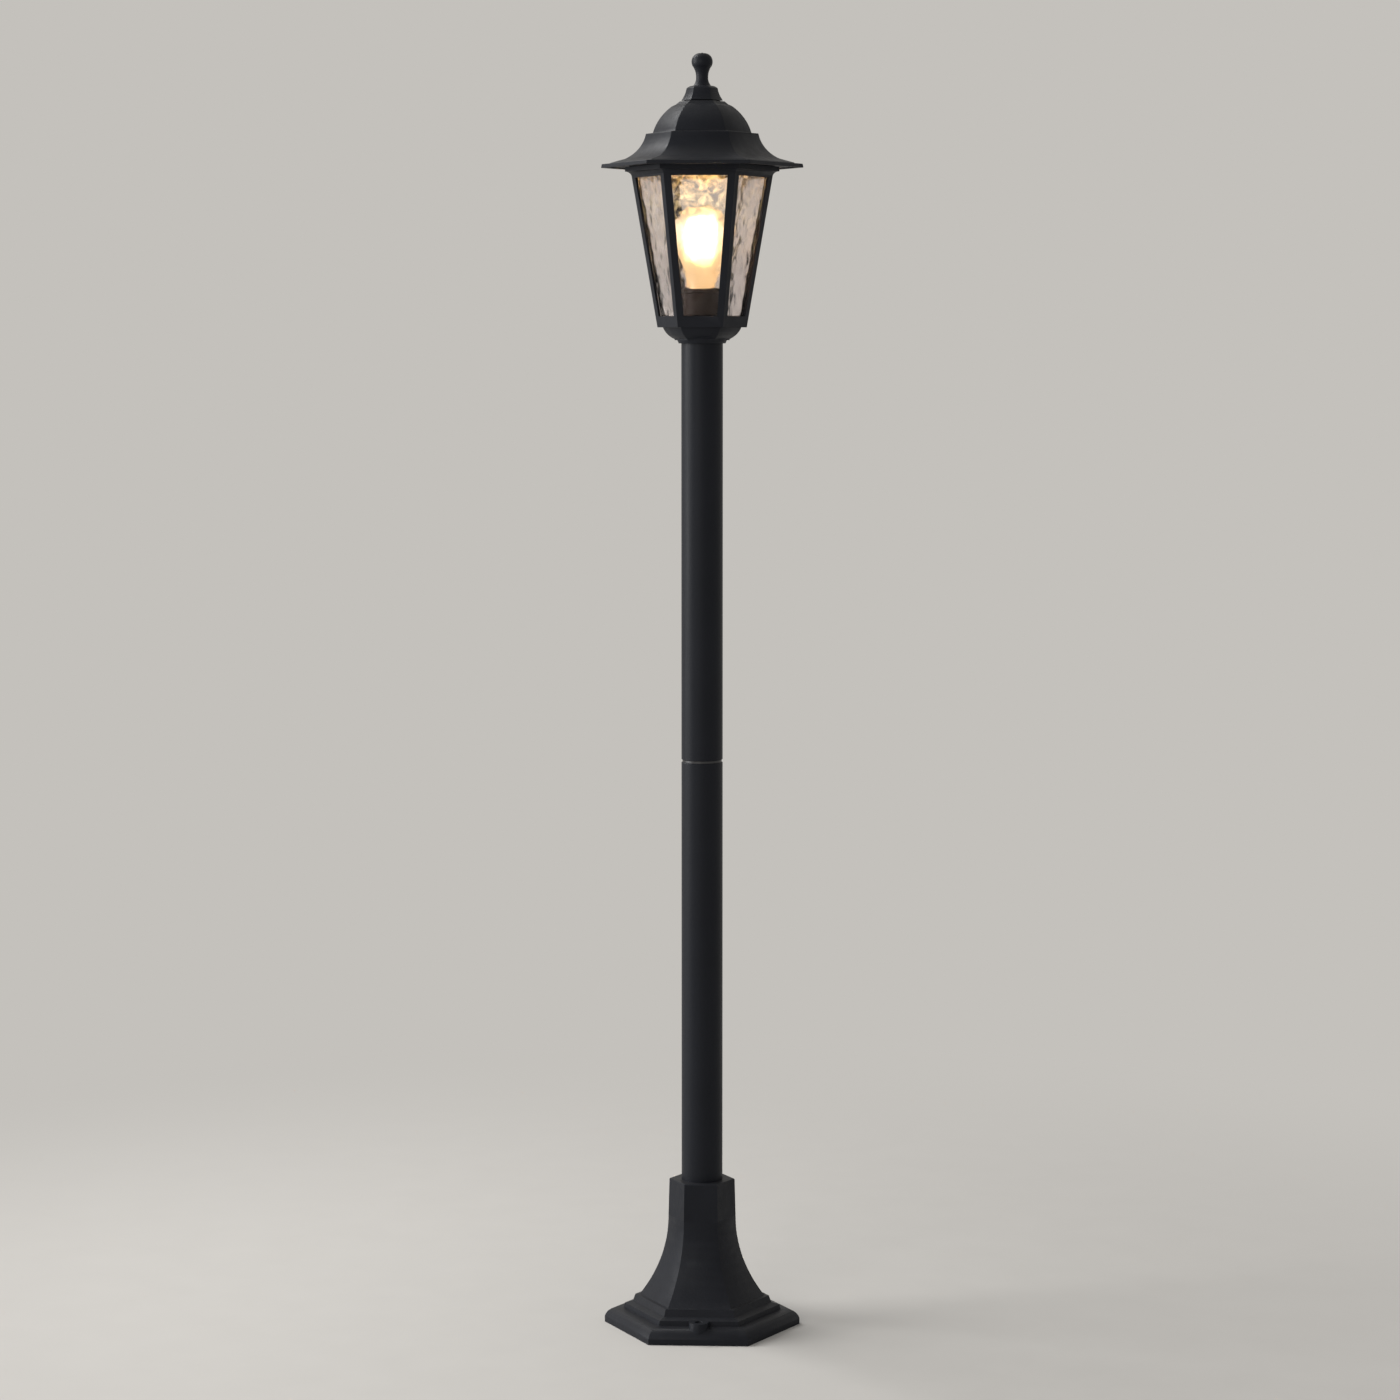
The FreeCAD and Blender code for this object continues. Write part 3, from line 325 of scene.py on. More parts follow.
# %% [markdown]
# ## Black powder coat on the tubes
# The tubes are drawn metal, so the coat lies on a smoother ground. Drawing leaves faint lines along the
# tube, which only show as a slight streakiness of the gloss. The same black, with the pattern pulled out
# along the post, tells the eye that this is a tube and not a casting.

# %% Finish of the tubes
LINE_STRETCH = 0.025

tube_coat, tree, shader, place = new_finish("powder_coat_black_on_drawn_tube", Metallic=0.0,
                                            Specular_IOR_Level=COAT_SHINE)
cloud = add_node(tree, "ShaderNodeTexNoise", {"Scale": per_metre(55), "Detail": 3.0}, {"Vector": place})
black = add_node(tree, "ShaderNodeMix",
                 {"data_type": "RGBA", 6: linear("#181a1f"), 7: linear("#1e2026")},
                 {0: cloud.outputs["Fac"]})
tree.links.new(black.outputs[2], shader.inputs["Base Color"])
# Lines from drawing are a fraction of a millimetre wide; they are drawn at 3 mm, and forty times as long,
# so that they show.
along = add_node(tree, "ShaderNodeMapping", {"Scale": (1.0, 1.0, LINE_STRETCH)}, {"Vector": place})
streak = add_node(tree, "ShaderNodeTexNoise", {"Scale": per_metre(3), "Detail": 2.0},
                  {"Vector": along.outputs["Vector"]})
satin = add_node(tree, "ShaderNodeMapRange",
                 {"From Min": 0.3, "From Max": 0.7, "To Min": 0.42, "To Max": 0.5},
                 {"Value": streak.outputs["Fac"]})
tree.links.new(satin.outputs["Result"], shader.inputs["Roughness"])
peel = add_node(tree, "ShaderNodeTexNoise", {"Scale": per_metre(PEEL_MM), "Detail": 2.0}, {"Vector": place})
skin = add_node(tree, "ShaderNodeBump", {"Strength": 1.0, "Distance": PEEL_DEPTH},
                {"Height": peel.outputs["Fac"]})
tree.links.new(skin.outputs["Normal"], shader.inputs["Normal"])
dress(tube_coat, "lower_post_tube", "upper_post_tube")

# %% [markdown]
# ## Turned aluminium
# The coupling between the tubes is turned from aluminium and left bare. Its thin flange lies a little
# behind the tubes' faces and shows as a fine line in the groove halfway up the post. Turning leaves fine
# rings round the axis. The plugs in the tube ends are the same metal. Its grey is painted far darker than
# bare aluminium: this is painted shade of the groove, and the plugs share it.

# %% Finish of the coupling and plugs
RING_STRETCH = 0.02
RING_DEPTH = 0.00003

alloy_with_painted_shade, tree, shader, place = new_finish("turned_aluminium_with_painted_groove_shade", Metallic=1.0)
ring = add_node(tree, "ShaderNodeMapping", {"Scale": (RING_STRETCH, RING_STRETCH, 1.0)}, {"Vector": place})
# The cutter's rings are 0.2 mm apart; drawn at 0.5 mm so that they show.
cut = add_node(tree, "ShaderNodeTexNoise", {"Scale": per_metre(0.5), "Detail": 1.0},
               {"Vector": ring.outputs["Vector"]})
# A dark grey in place of bare aluminium's pale grey: painted shade of the groove the flange sits in.
grey_with_painted_shade = add_node(tree, "ShaderNodeMix",
                {"data_type": "RGBA", 6: linear("#3e3e3f"), 7: linear("#4c4c4d")},
                {0: cut.outputs["Fac"]})
tree.links.new(grey_with_painted_shade.outputs[2], shader.inputs["Base Color"])
lathe = add_node(tree, "ShaderNodeMapRange", {"To Min": 0.32, "To Max": 0.5}, {"Value": cut.outputs["Fac"]})
tree.links.new(lathe.outputs["Result"], shader.inputs["Roughness"])
groove = add_node(tree, "ShaderNodeBump", {"Strength": 0.6, "Distance": RING_DEPTH},
                  {"Height": cut.outputs["Fac"]})
tree.links.new(groove.outputs["Normal"], shader.inputs["Normal"])
dress(alloy_with_painted_shade, "post_coupling", "lower_tube_plug", "upper_tube_plug")

# %% [markdown]
# ## Zinc plated steel
# Screws, washers, nuts, stems and the roof's spring clips are steel with a thin bright zinc plate. Zinc
# forms small spangles and dulls in patches, so it is a soft grey metal with an uneven gloss.

# %% Finish of the fixings
PLATE_DEPTH = 0.00002

zinc, tree, shader, place = new_finish("zinc_plated_steel", Metallic=1.0)
spangle = add_node(tree, "ShaderNodeTexVoronoi", {"Scale": per_metre(2.5)}, {"Vector": place})
dull = add_node(tree, "ShaderNodeTexNoise", {"Scale": per_metre(4), "Detail": 3.0}, {"Vector": place})
steel = add_node(tree, "ShaderNodeMix",
                 {"data_type": "RGBA", 6: linear("#9a9da0"), 7: linear("#bcbfc0")},
                 {0: spangle.outputs["Distance"]})
tree.links.new(steel.outputs[2], shader.inputs["Base Color"])
gloss = add_node(tree, "ShaderNodeMapRange", {"To Min": 0.22, "To Max": 0.48}, {"Value": dull.outputs["Fac"]})
tree.links.new(gloss.outputs["Result"], shader.inputs["Roughness"])
grain = add_node(tree, "ShaderNodeBump", {"Strength": 0.5, "Distance": PLATE_DEPTH},
                 {"Height": dull.outputs["Fac"]})
tree.links.new(grain.outputs["Normal"], shader.inputs["Normal"])
dress(zinc, "lower_stem", "lower_stem_washer", "lower_stem_nut", "upper_stem", "upper_stem_washer",
      "upper_stem_nut", "cage_screws", "roof_clips", "finial_washer", "finial_screw", "terminal_block_screw")

# %% [markdown]
# ## Brass
# The holder's screw shell and contact, the terminal screws and the earth screw are brass, as current needs.
# Pressed brass keeps a warm yellow with browner patches where hands and air have been at it.

# %% Finish of the contacts
TARNISH_DEPTH = 0.00002

brass, tree, shader, place = new_finish("pressed_brass", Metallic=1.0)
tarnish = add_node(tree, "ShaderNodeTexNoise", {"Scale": per_metre(5), "Detail": 4.0}, {"Vector": place})
yellow = add_node(tree, "ShaderNodeMix",
                  {"data_type": "RGBA", 6: linear("#a98645"), 7: linear("#d0b06a")},
                  {0: tarnish.outputs["Fac"]})
tree.links.new(yellow.outputs[2], shader.inputs["Base Color"])
gloss = add_node(tree, "ShaderNodeMapRange", {"To Min": 0.4, "To Max": 0.2}, {"Value": tarnish.outputs["Fac"]})
tree.links.new(gloss.outputs["Result"], shader.inputs["Roughness"])
grain = add_node(tree, "ShaderNodeBump", {"Strength": 0.4, "Distance": TARNISH_DEPTH},
                 {"Height": tarnish.outputs["Fac"]})
tree.links.new(grain.outputs["Normal"], shader.inputs["Normal"])
dress(brass, "holder_screw_shell", "holder_contact", "terminal_clamp_screws", "earth_washer", "earth_screw")

# %% [markdown]
# ## Moulded phenolic
# The lamp holder is moulded from phenolic resin, a dark brown that stands the bulb's heat. Its filler shows
# as a dull mottle, so colour, gloss and a very slight relief all follow one fine pattern.

# %% Finish of the lamp holder
FILLER_DEPTH = 0.00003

phenolic, tree, shader, place = new_finish("moulded_phenolic_brown", Metallic=0.0, Specular_IOR_Level=0.2)
filler = add_node(tree, "ShaderNodeTexNoise", {"Scale": per_metre(1.8), "Detail": 5.0}, {"Vector": place})
brown = add_node(tree, "ShaderNodeMix",
                 {"data_type": "RGBA", 6: linear("#170d0a"), 7: linear("#241610")},
                 {0: filler.outputs["Fac"]})
tree.links.new(brown.outputs[2], shader.inputs["Base Color"])
gloss = add_node(tree, "ShaderNodeMapRange", {"To Min": 0.32, "To Max": 0.52}, {"Value": filler.outputs["Fac"]})
tree.links.new(gloss.outputs["Result"], shader.inputs["Roughness"])
flow = add_node(tree, "ShaderNodeBump", {"Strength": 0.5, "Distance": FILLER_DEPTH},
                {"Height": filler.outputs["Fac"]})
tree.links.new(flow.outputs["Normal"], shader.inputs["Normal"])
dress(phenolic, "lamp_holder")

# %% [markdown]
# ## Moulded nylon
# The terminal block is natural nylon, milky and slightly waxy. A plain white would look like plaster, so a
# little light goes into it and comes out warmer.

# %% Finish of the terminal block
nylon, tree, shader, place = new_finish("moulded_nylon_natural", Metallic=0.0, Subsurface_Weight=0.25,
                                        Subsurface_Radius=(0.002, 0.0018, 0.0014))
milk = add_node(tree, "ShaderNodeTexNoise", {"Scale": per_metre(6), "Detail": 3.0}, {"Vector": place})
cream = add_node(tree, "ShaderNodeMix",
                 {"data_type": "RGBA", 6: linear("#d9d3c2"), 7: linear("#e6e1d3")},
                 {0: milk.outputs["Fac"]})
tree.links.new(cream.outputs[2], shader.inputs["Base Color"])
gloss = add_node(tree, "ShaderNodeMapRange", {"To Min": 0.36, "To Max": 0.5}, {"Value": milk.outputs["Fac"]})
tree.links.new(gloss.outputs["Result"], shader.inputs["Roughness"])
dress(nylon, "terminal_block")

# %% [markdown]
# ## Softened edges
# A mould can't hold a knife edge, and a baked coat draws back from one, so every corner of the castings is
# slightly round and carries a thin line of light. The solids have sharp edges. A bevel made live on top of
# them rounds every edge that turns by more than a set angle and leaves the tessellated curves alone.

# %% Soften the castings
EDGE_MM = {"base": 0.7, "lantern_cup": 0.4, "lantern_cage": 0.35, "roof": 0.6, "finial": 0.4}
SHARP_TURN = math.radians(28)
SAME_PLACE = 0.00001


def soften(name, width_mm):
    """Round a node's sharp edges with live modifiers; its own mesh stays as it is."""
    weld = nodes[name].modifiers.new("join_triangles", "WELD")
    weld.merge_threshold = SAME_PLACE
    bevel = nodes[name].modifiers.new("soft_edges", "BEVEL")
    bevel.width = width_mm / 1000.0
    bevel.segments = 2
    bevel.limit_method = "ANGLE"
    bevel.angle_limit = SHARP_TURN
    bevel.use_clamp_overlap = True
    bevel.miter_outer = "MITER_ARC"
    bevel.harden_normals = True


for name, width in EDGE_MM.items():
    soften(name, width)
print("edges softened on", len(EDGE_MM), "castings")

# %% [markdown]
# ## New pieces
# The frame's panes are flat and its bulb is one plain solid, so both are made again here with their detail
# and take the place of the plain ones. A new piece that belongs to no body would stay behind when the part
# moves, so one helper puts every new mesh on its body and gives it its finish.

# %% Helper for new pieces
def finish_piece(name, shape, material, body):
    """Turn a built shape into an object that rides on a body and takes a slot's finish."""
    data = bpy.data.meshes.new(name)
    shape.to_mesh(data)
    shape.free()
    data.materials.append(material)
    piece = bpy.data.objects.new(name, data)
    bpy.context.scene.collection.objects.link(piece)
    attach(piece, body)
    print(name, "faces:", len(data.polygons))
    return piece


# %% [markdown]
# ## Rippled glass
# The six panes are cast glass: clear, with a faint grey rose tint, and with a skin that scatters a little.
# A perfectly smooth glass would show the bulb as sharp as through a window, so the gloss wanders in patches.
# Shadow rays pass straight through, because the lamps in the bulb could hardly light the lantern otherwise.

# %% Rippled glass finish
HAZE_LEAST = 0.04
HAZE_MOST = 0.2

# The tint of the mirror image keeps the pale studio from veiling what stands behind the glass.
glass, tree, shader, place = new_finish("cast_glass_rippled", Metallic=0.0, IOR=1.5, Transmission_Weight=1.0,
                                        Specular_Tint=linear("#b0a8a2"))
# The glass itself is tinted slightly unevenly, as cheap cast glass is.
melt = add_node(tree, "ShaderNodeTexNoise", {"Scale": per_metre(25), "Detail": 2.0}, {"Vector": place})
tint = add_node(tree, "ShaderNodeMix",
                {"data_type": "RGBA", 6: linear("#e9e2e0"), 7: linear("#f3eeec")},
                {0: melt.outputs["Fac"]})
tree.links.new(tint.outputs[2], shader.inputs["Base Color"])
# The skin scatters in 8 mm patches and so carries a glow round the bulb.
bloom = add_node(tree, "ShaderNodeTexNoise", {"Scale": per_metre(8), "Detail": 1.0}, {"Vector": place})
haze = add_node(tree, "ShaderNodeMapRange",
                {"From Min": 0.3, "From Max": 0.7, "To Min": HAZE_LEAST, "To Max": HAZE_MOST},
                {"Value": bloom.outputs["Fac"]})
tree.links.new(haze.outputs["Result"], shader.inputs["Roughness"])
# Light goes through the panes to what stands behind them.
ray = add_node(tree, "ShaderNodeLightPath", {})
clear = add_node(tree, "ShaderNodeBsdfTransparent", {"Color": linear("#e6dfdc")})
pane_mix = add_node(tree, "ShaderNodeMixShader", {},
                    {0: ray.outputs["Is Shadow Ray"], 1: shader.outputs["BSDF"], 2: clear.outputs["BSDF"]})
tree.links.new(pane_mix.outputs["Shader"], tree.nodes["Material Output"].inputs["Surface"])
print("roughness of the glass from", HAZE_LEAST, "to", HAZE_MOST)

# %% [markdown]
# Above the bulb the ripples gather its light into golden flecks, strongest in the front and the back pane.
# Tracing gathered light takes very long, so the finish gives those flecks a faint glow instead: a noise that
# is cut to patches, and then held to the height and the panes where the flecks belong.

# %% Flecks of gathered light
BULB_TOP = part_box("bulb")[1].z
HOLDER_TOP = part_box("lamp_holder")[1].z
PANE_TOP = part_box("pane_front")[1].z
FLECK_GLOW = 0.42
FLECK_FULL = BULB_TOP + 0.006
MIDDLE_REACH = 0.014
EDGE_REACH = 0.030
SIDE_SHARE = 0.12

# Flecks some 9 mm wide. They start at the holder and grow up to the bulb's top.
ripple = add_node(tree, "ShaderNodeTexNoise", {"Scale": per_metre(9), "Detail": 2.5, "Distortion": 1.0},
                  {"Vector": place})
fleck = add_node(tree, "ShaderNodeMapRange",
                 {"interpolation_type": "SMOOTHSTEP", "From Min": 0.42, "From Max": 0.64},
                 {"Value": ripple.outputs["Fac"]})
where = add_node(tree, "ShaderNodeSeparateXYZ", {}, {"Vector": place})
above = add_node(tree, "ShaderNodeMapRange",
                 {"interpolation_type": "SMOOTHSTEP", "From Min": HOLDER_TOP, "From Max": FLECK_FULL,
                  "To Max": FLECK_GLOW},
                 {"Value": where.outputs["Z"]})
# Along the middle of the front and back panes they are full, and faint on the other four.
aside = add_node(tree, "ShaderNodeMath", {"operation": "ABSOLUTE"}, {0: where.outputs["X"]})
middle = add_node(tree, "ShaderNodeMapRange",
                  {"From Min": MIDDLE_REACH, "From Max": EDGE_REACH, "To Min": 1.0, "To Max": SIDE_SHARE},
                  {"Value": aside.outputs[0]})
gathered = fleck.outputs["Result"]
for limit in (above, middle):
    step = add_node(tree, "ShaderNodeMath", {"operation": "MULTIPLY"},
                    {0: gathered, 1: limit.outputs["Result"]})
    gathered = step.outputs[0]
tree.links.new(gathered, shader.inputs["Emission Strength"])
# The light is cream next to the bulb and deeper gold under the crown.
rise = add_node(tree, "ShaderNodeMapRange", {"From Min": BULB_TOP, "From Max": PANE_TOP},
                {"Value": where.outputs["Z"]})
golden = add_node(tree, "ShaderNodeMix",
                  {"data_type": "RGBA", 6: linear("#ffdf9f"), 7: linear("#ffc56e")},
                  {0: rise.outputs["Result"]})
tree.links.new(golden.outputs[2], shader.inputs["Emission Color"])
print("flecks from", round(HOLDER_TOP, 3), "to", round(PANE_TOP, 3), "m")

# %% [markdown]
# The panes have an irregular hammered face: soft dents some 10 mm across that bend whatever stands behind
# them. A bump in the shader would do for a still, but a real relief also bends the outline of the bulb and
# catches light at the edge. So each pane starts from the frame's own solid, is cut into a fine grid, and
# its two faces are dented inwards, never past the solid, so that it still slides in its channel.

# %% Depth of the dents
DENT = 0.0009
OUTER_SHARE = 0.6
FACE_SHIFT = 11.0
DENT_WIDTH = 0.010
DENT_SQUASH = 0.8
BROAD_SHARE = 0.62
FINE_SHARE = 0.22
FINE_SCALE = 1.9
FINE_SHIFT = Vector((5.0, 9.0, 3.0))
SEED_STEP = 3.1
SEED_SKEW = 2.7


def dent_depth(place, seed):
    """How deep the hammered face lies at a place, from 0 to 1."""
    spot = Vector((place.x, place.y, place.z * DENT_SQUASH)) / DENT_WIDTH
    spot += Vector((seed, SEED_SKEW * seed, 0.0))
    broad = noise.noise(spot)
    fine = noise.noise(spot * FINE_SCALE + FINE_SHIFT)
    return min(1.0, max(0.0, 0.5 + BROAD_SHARE * broad + FINE_SHARE * fine))


print("dents up to", DENT * 1000, "mm deep and some", DENT_WIDTH * 1000, "mm wide")

# %% Cut the panes
FLAT_ENOUGH = math.radians(1)
TALL_EDGE = 0.1
WIDE_EDGE = 0.01
LEVEL_EDGE = 0.0001
# The grid's squares are about 1 mm wide.
TALL_CUTS = 142
WIDE_CUTS = 50
SQUARE_ON = 0.9


def cut_pane(name, seed):
    """A pane with rippled faces in place of the frame's flat one."""
    shape = bmesh.new()
    shape.from_mesh(nodes[name].data)
    bmesh.ops.remove_doubles(shape, verts=shape.verts, dist=SAME_PLACE)
    bmesh.ops.dissolve_limit(shape, angle_limit=FLAT_ENOUGH, verts=shape.verts, edges=shape.edges)
    tall = [e for e in shape.edges if abs(e.verts[0].co.z - e.verts[1].co.z) > TALL_EDGE]
    bmesh.ops.subdivide_edges(shape, edges=tall, cuts=TALL_CUTS, use_grid_fill=True)
    level = [e for e in shape.edges if abs(e.verts[0].co.z - e.verts[1].co.z) < LEVEL_EDGE]
    wide = [e for e in level if e.calc_length() > WIDE_EDGE]
    bmesh.ops.subdivide_edges(shape, edges=wide, cuts=WIDE_CUTS, use_grid_fill=True)
    shape.normal_update()
    centre = sum((v.co for v in shape.verts), Vector()) / len(shape.verts)
    outward = Vector((centre.x, centre.y, 0.0)).normalized()
    for face in shape.faces:
        face.smooth = abs(face.normal.dot(outward)) > SQUARE_ON
    # Only what lies inside a face is dented: the pane's edges stay where its channel holds them.
    depth = {}
    for vert in shape.verts:
        flat = [f.normal.dot(outward) for f in vert.link_faces if f.smooth]
        if flat and len(flat) == len(vert.link_faces):
            side = 1.0 if flat[0] > 0 else -1.0
            share = 1.0 if side < 0 else OUTER_SHARE
            depth[vert] = -side * DENT * dent_depth(vert.co, seed + side * FACE_SHIFT) * share
    for vert, inwards in depth.items():
        vert.co += outward * inwards
    pane = finish_piece("rippled_" + name, shape, glass, "lamp")
    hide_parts(name)


for seed, name in enumerate(sorted(n for n in nodes if n.startswith("pane_"))):
    cut_pane(name, SEED_STEP * seed + 1.0)

# %% [markdown]
# ## Bulb
# An ordinary frosted screw-cap bulb stands in the holder, burning. Its glass blurs what is inside, so the
# eye sees a white heart that runs out to yellow at the edge of the glass and towards the neck. One glowing
# ball would look like a paper disc. Here the glass is a thin frosted shell, and a smaller glowing heart
# inside it gives the white core and the soft warm rim by itself.

# %% Sizes of the bulb
BULB_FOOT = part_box("bulb")[0].z
BALL_RADIUS = 0.030
BALL_CENTRE = BULB_TOP - BALL_RADIUS
CAP_HEIGHT = 0.024
CAP_TOP = BULB_FOOT + CAP_HEIGHT
print("bulb from", round(BULB_FOOT, 3), "to", round(BULB_TOP, 3), "m")

# %% [markdown]
# The glass is etched inside, which makes it milky and rough to light. It also glows by itself, because the
# etching throws light about within the wall: faintly at the top, and more and yellower towards the neck.

# %% Frosted glass finish
TOP_GLOW = 0.04
NECK_GLOW = 0.16

frost, tree, shader, place = new_finish("frosted_bulb_glass", Metallic=0.0, IOR=1.45, Transmission_Weight=1.0,
                                        Roughness=0.36)
etch = add_node(tree, "ShaderNodeTexNoise", {"Scale": per_metre(3), "Detail": 3.0}, {"Vector": place})
milky = add_node(tree, "ShaderNodeMix",
                 {"data_type": "RGBA", 6: linear("#fff4e2"), 7: linear("#fffaf0")},
                 {0: etch.outputs["Fac"]})
tree.links.new(milky.outputs[2], shader.inputs["Base Color"])
where = add_node(tree, "ShaderNodeSeparateXYZ", {}, {"Vector": place})
fall = add_node(tree, "ShaderNodeMapRange", {"From Min": BULB_TOP, "From Max": CAP_TOP},
                {"Value": where.outputs["Z"]})
amber = add_node(tree, "ShaderNodeMix",
                 {"data_type": "RGBA", 6: linear("#ffe6bc"), 7: linear("#ffc96c")},
                 {0: fall.outputs["Result"]})
tree.links.new(amber.outputs[2], shader.inputs["Emission Color"])
lit = add_node(tree, "ShaderNodeMapRange", {"To Min": TOP_GLOW, "To Max": NECK_GLOW},
               {"Value": fall.outputs["Result"]})
tree.links.new(lit.outputs["Result"], shader.inputs["Emission Strength"])
# The bulb's own light leaves through the glass.
ray = add_node(tree, "ShaderNodeLightPath", {})
clear = add_node(tree, "ShaderNodeBsdfTransparent", {"Color": linear("#fff0dc")})
open_wall = add_node(tree, "ShaderNodeMixShader", {},
                     {0: ray.outputs["Is Shadow Ray"], 1: shader.outputs["BSDF"], 2: clear.outputs["BSDF"]})
tree.links.new(open_wall.outputs["Shader"], tree.nodes["Material Output"].inputs["Surface"])
print("the frost glows from", TOP_GLOW, "at the top to", NECK_GLOW, "at the neck")

# %% [markdown]
# A blown bulb has no corners: the ball runs into the neck by a hollow curve. Its outline is one arc for the
# ball, one the other way round for the hollow, and a straight neck. Each arc is drawn by spinning a single
# vertex, so that one runs smoothly into the next, and the outline is then spun round the axis.

# %% Helpers for spun shapes
SAME_SPOT = 0.000005


def spin_round(shape, steps=64):
    """Turn a profile in the XZ plane round the upright axis into a closed skin."""
    bmesh.ops.spin(shape, geom=shape.verts[:] + shape.edges[:], cent=(0, 0, 0), axis=(0, 0, 1),
                   angle=2 * math.pi, steps=steps, use_merge=True)
    bmesh.ops.remove_doubles(shape, verts=shape.verts, dist=SAME_SPOT)
    bmesh.ops.recalc_face_normals(shape, faces=shape.faces)
    for face in shape.faces:
        face.smooth = True


def sweep_arc(shape, start, centre, angle, steps):
    """Draw an arc from a vertex by spinning it about a centre; returns the arc's last vertex."""
    swept = bmesh.ops.spin(shape, geom=[start], cent=centre, axis=(0, 1, 0), angle=angle, steps=steps)
    return [v for v in swept["geom_last"] if isinstance(v, bmesh.types.BMVert)][0]


# %% Blow the glass
NECK_RADIUS = 0.0136
NECK_TURN = math.radians(35.0)
GLASS_WALL = 0.0008

skin = bmesh.new()
top = skin.verts.new((0.0, 0.0, BULB_TOP))
waist = sweep_arc(skin, top, (0, 0, BALL_CENTRE), math.pi / 2 + NECK_TURN, 36)
hollow = (waist.co.x - NECK_RADIUS) / (1 - math.cos(NECK_TURN))
hollow_centre = Vector((NECK_RADIUS + hollow, 0.0, waist.co.z - hollow * math.sin(NECK_TURN)))
neck = sweep_arc(skin, waist, hollow_centre, -NECK_TURN, 14)
foot = skin.verts.new((neck.co.x, 0.0, CAP_TOP))
skin.edges.new((neck, foot))
print("neck radius in mm:", round(neck.co.x * 1000, 2), "at", round(neck.co.z * 1000, 1))
spin_round(skin)
envelope = finish_piece("bulb_glass", skin, frost, "lamp")
wall = envelope.modifiers.new("glass_wall", "SOLIDIFY")
wall.thickness = GLASS_WALL
wall.offset = -1.0
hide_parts("bulb")

# %% [markdown]
# The heart stands for the place in the bulb where the light is made. Seen through the frost it has no
# outline, so a ball drawn out downwards will do. Its upper part is nearly white, and it turns yellower and
# weaker towards the neck.

# %% Light the heart
HEART_RADIUS = 0.0135
HEART_UP = 0.004
HEART_DOWN = 0.014
WHITE_GLOW = 15.0
YELLOW_GLOW = 3.0
YELLOW_END = BALL_CENTRE - 0.028
WHITE_END = BALL_CENTRE - 0.002

heart_glow, tree, shader, place = new_finish("glowing_bulb_heart", Roughness=0.6, Base_Color=linear("#fff2d8"))
where = add_node(tree, "ShaderNodeSeparateXYZ", {}, {"Vector": place})
ends = add_node(tree, "ShaderNodeMapRange",
                {"interpolation_type": "SMOOTHSTEP", "From Min": YELLOW_END, "From Max": WHITE_END},
                {"Value": where.outputs["Z"]})
heat = add_node(tree, "ShaderNodeMix",
                {"data_type": "RGBA", 6: linear("#ffd084"), 7: linear("#ffecc6")},
                {0: ends.outputs["Result"]})
tree.links.new(heat.outputs[2], shader.inputs["Emission Color"])
power = add_node(tree, "ShaderNodeMapRange", {"To Min": YELLOW_GLOW, "To Max": WHITE_GLOW},
                 {"Value": ends.outputs["Result"]})
tree.links.new(power.outputs["Result"], shader.inputs["Emission Strength"])

core = bmesh.new()
bmesh.ops.create_uvsphere(core, u_segments=32, v_segments=24, radius=HEART_RADIUS)
for vert in core.verts:
    vert.co.z += BALL_CENTRE + (HEART_UP if vert.co.z > 0.0001 else -HEART_DOWN)
for face in core.faces:
    face.smooth = True
finish_piece("bulb_heart", core, heart_glow, "lamp")

# %% [markdown]
# The cap is pressed from thin metal and plated with nickel: a warm grey with a slightly worn gloss. It sits
# in the holder's shell, so little of it is ever seen, and its thread is left plain. A few corners of its
# outline, spun round the axis, are enough.

# %% Press the cap
# The outline from the contact up, as distances from the axis and heights above the foot.
CAP_OUTLINE = ((0.0, 0.0), (0.0047, 0.0), (0.0055, 0.0016), (0.0124, 0.0055), (0.0132, 0.0063),
               (0.0132, CAP_HEIGHT - 0.0004), (0.0126, CAP_HEIGHT), (0.0, CAP_HEIGHT))

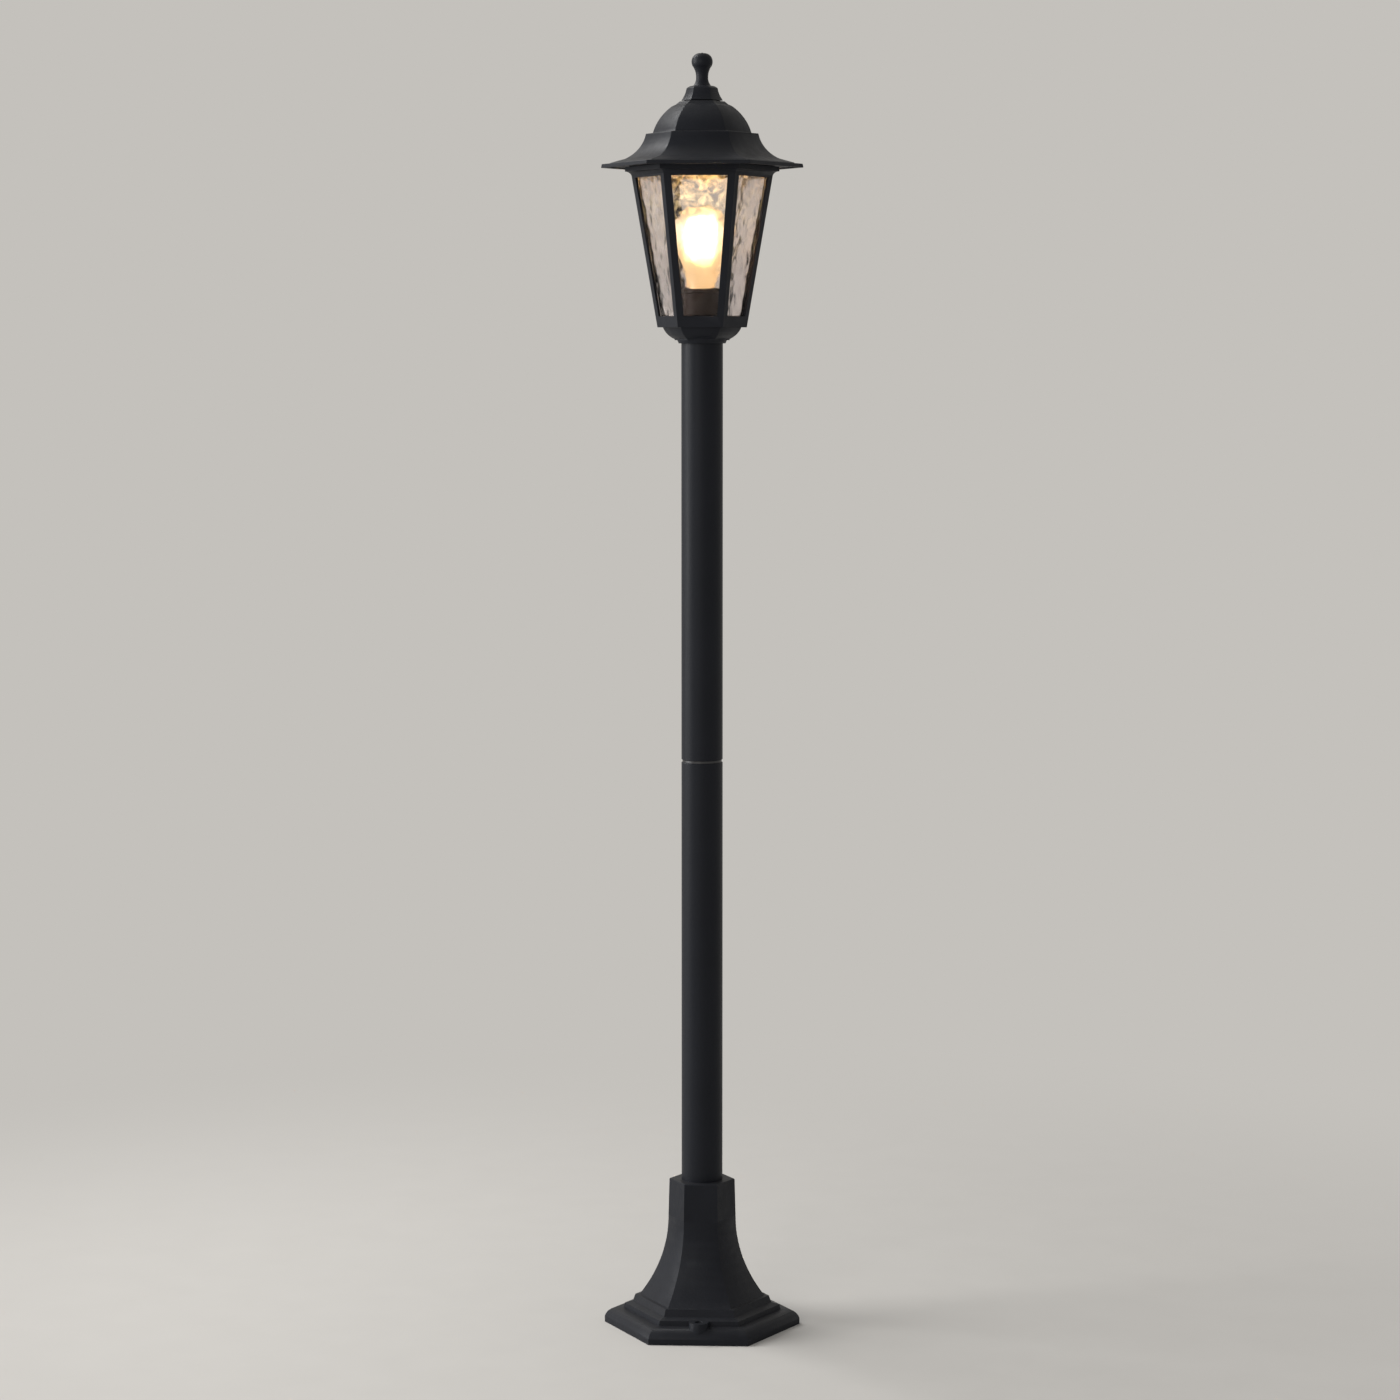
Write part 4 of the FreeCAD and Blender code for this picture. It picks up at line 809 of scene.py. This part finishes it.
cap_metal, tree, shader, place = new_finish("nickel_plated_cap", Metallic=1.0)
wear = add_node(tree, "ShaderNodeTexNoise", {"Scale": per_metre(5), "Detail": 3.0}, {"Vector": place})
nickel = add_node(tree, "ShaderNodeMix",
                  {"data_type": "RGBA", 6: linear("#a9a59c"), 7: linear("#c4c0b6")},
                  {0: wear.outputs["Fac"]})
tree.links.new(nickel.outputs[2], shader.inputs["Base Color"])
gloss = add_node(tree, "ShaderNodeMapRange", {"To Min": 0.2, "To Max": 0.4}, {"Value": wear.outputs["Fac"]})
tree.links.new(gloss.outputs["Result"], shader.inputs["Roughness"])

cap = bmesh.new()
corners = [cap.verts.new((out, 0.0, BULB_FOOT + up)) for out, up in CAP_OUTLINE]
for low, high in zip(corners, corners[1:]):
    cap.edges.new((low, high))
spin_round(cap, 48)
finish_piece("bulb_cap", cap, cap_metal, "lamp")

# %% [markdown]
# ## The bulb's own light
# The glowing heart is bright to look at, but small, so a warm lamp of its size stands in the same place and
# carries its light to the glass channels, the sill and the cup. A bulb shines most through its top, away
# from its cap, so a second lamp there throws a cone up into the roof's hollow. The back panes lean outwards
# and mirror that hollow, which warms the upper end of the windows.

# %% Hang the warm lamps
CONE_ANGLE = math.radians(110)
CONE_SOFTNESS = 0.4
BELOW_TOP = 0.006


def warm_lamp(name, kind, height, power, radius, colour):
    """A lamp in the bulb's warm white on the post's axis; only its light is seen."""
    data = bpy.data.lights.new(name, kind)
    data.energy = power
    data.color = linear(colour)[:3]
    data.shadow_soft_size = radius
    lamp = bpy.data.objects.new(name, data)
    lamp.location = (0.0, 0.0, height)
    lamp.visible_camera = False
    lamp.visible_transmission = False
    lamp.visible_glossy = False
    bpy.context.scene.collection.objects.link(lamp)
    print(name, "at", round(height, 3), "m with", power, "W")
    return lamp


warm_lamp("bulb_light", "POINT", BALL_CENTRE, power=14.0, radius=0.014, colour="#ffb868")
upward_lamp = warm_lamp("bulb_top_light", "SPOT", BULB_TOP - BELOW_TOP, power=1.5, radius=0.004,
                        colour="#ffdcae")
upward_lamp.rotation_euler = (math.pi, 0.0, 0.0)
upward_lamp.data.spot_size = CONE_ANGLE
upward_lamp.data.spot_blend = CONE_SOFTNESS
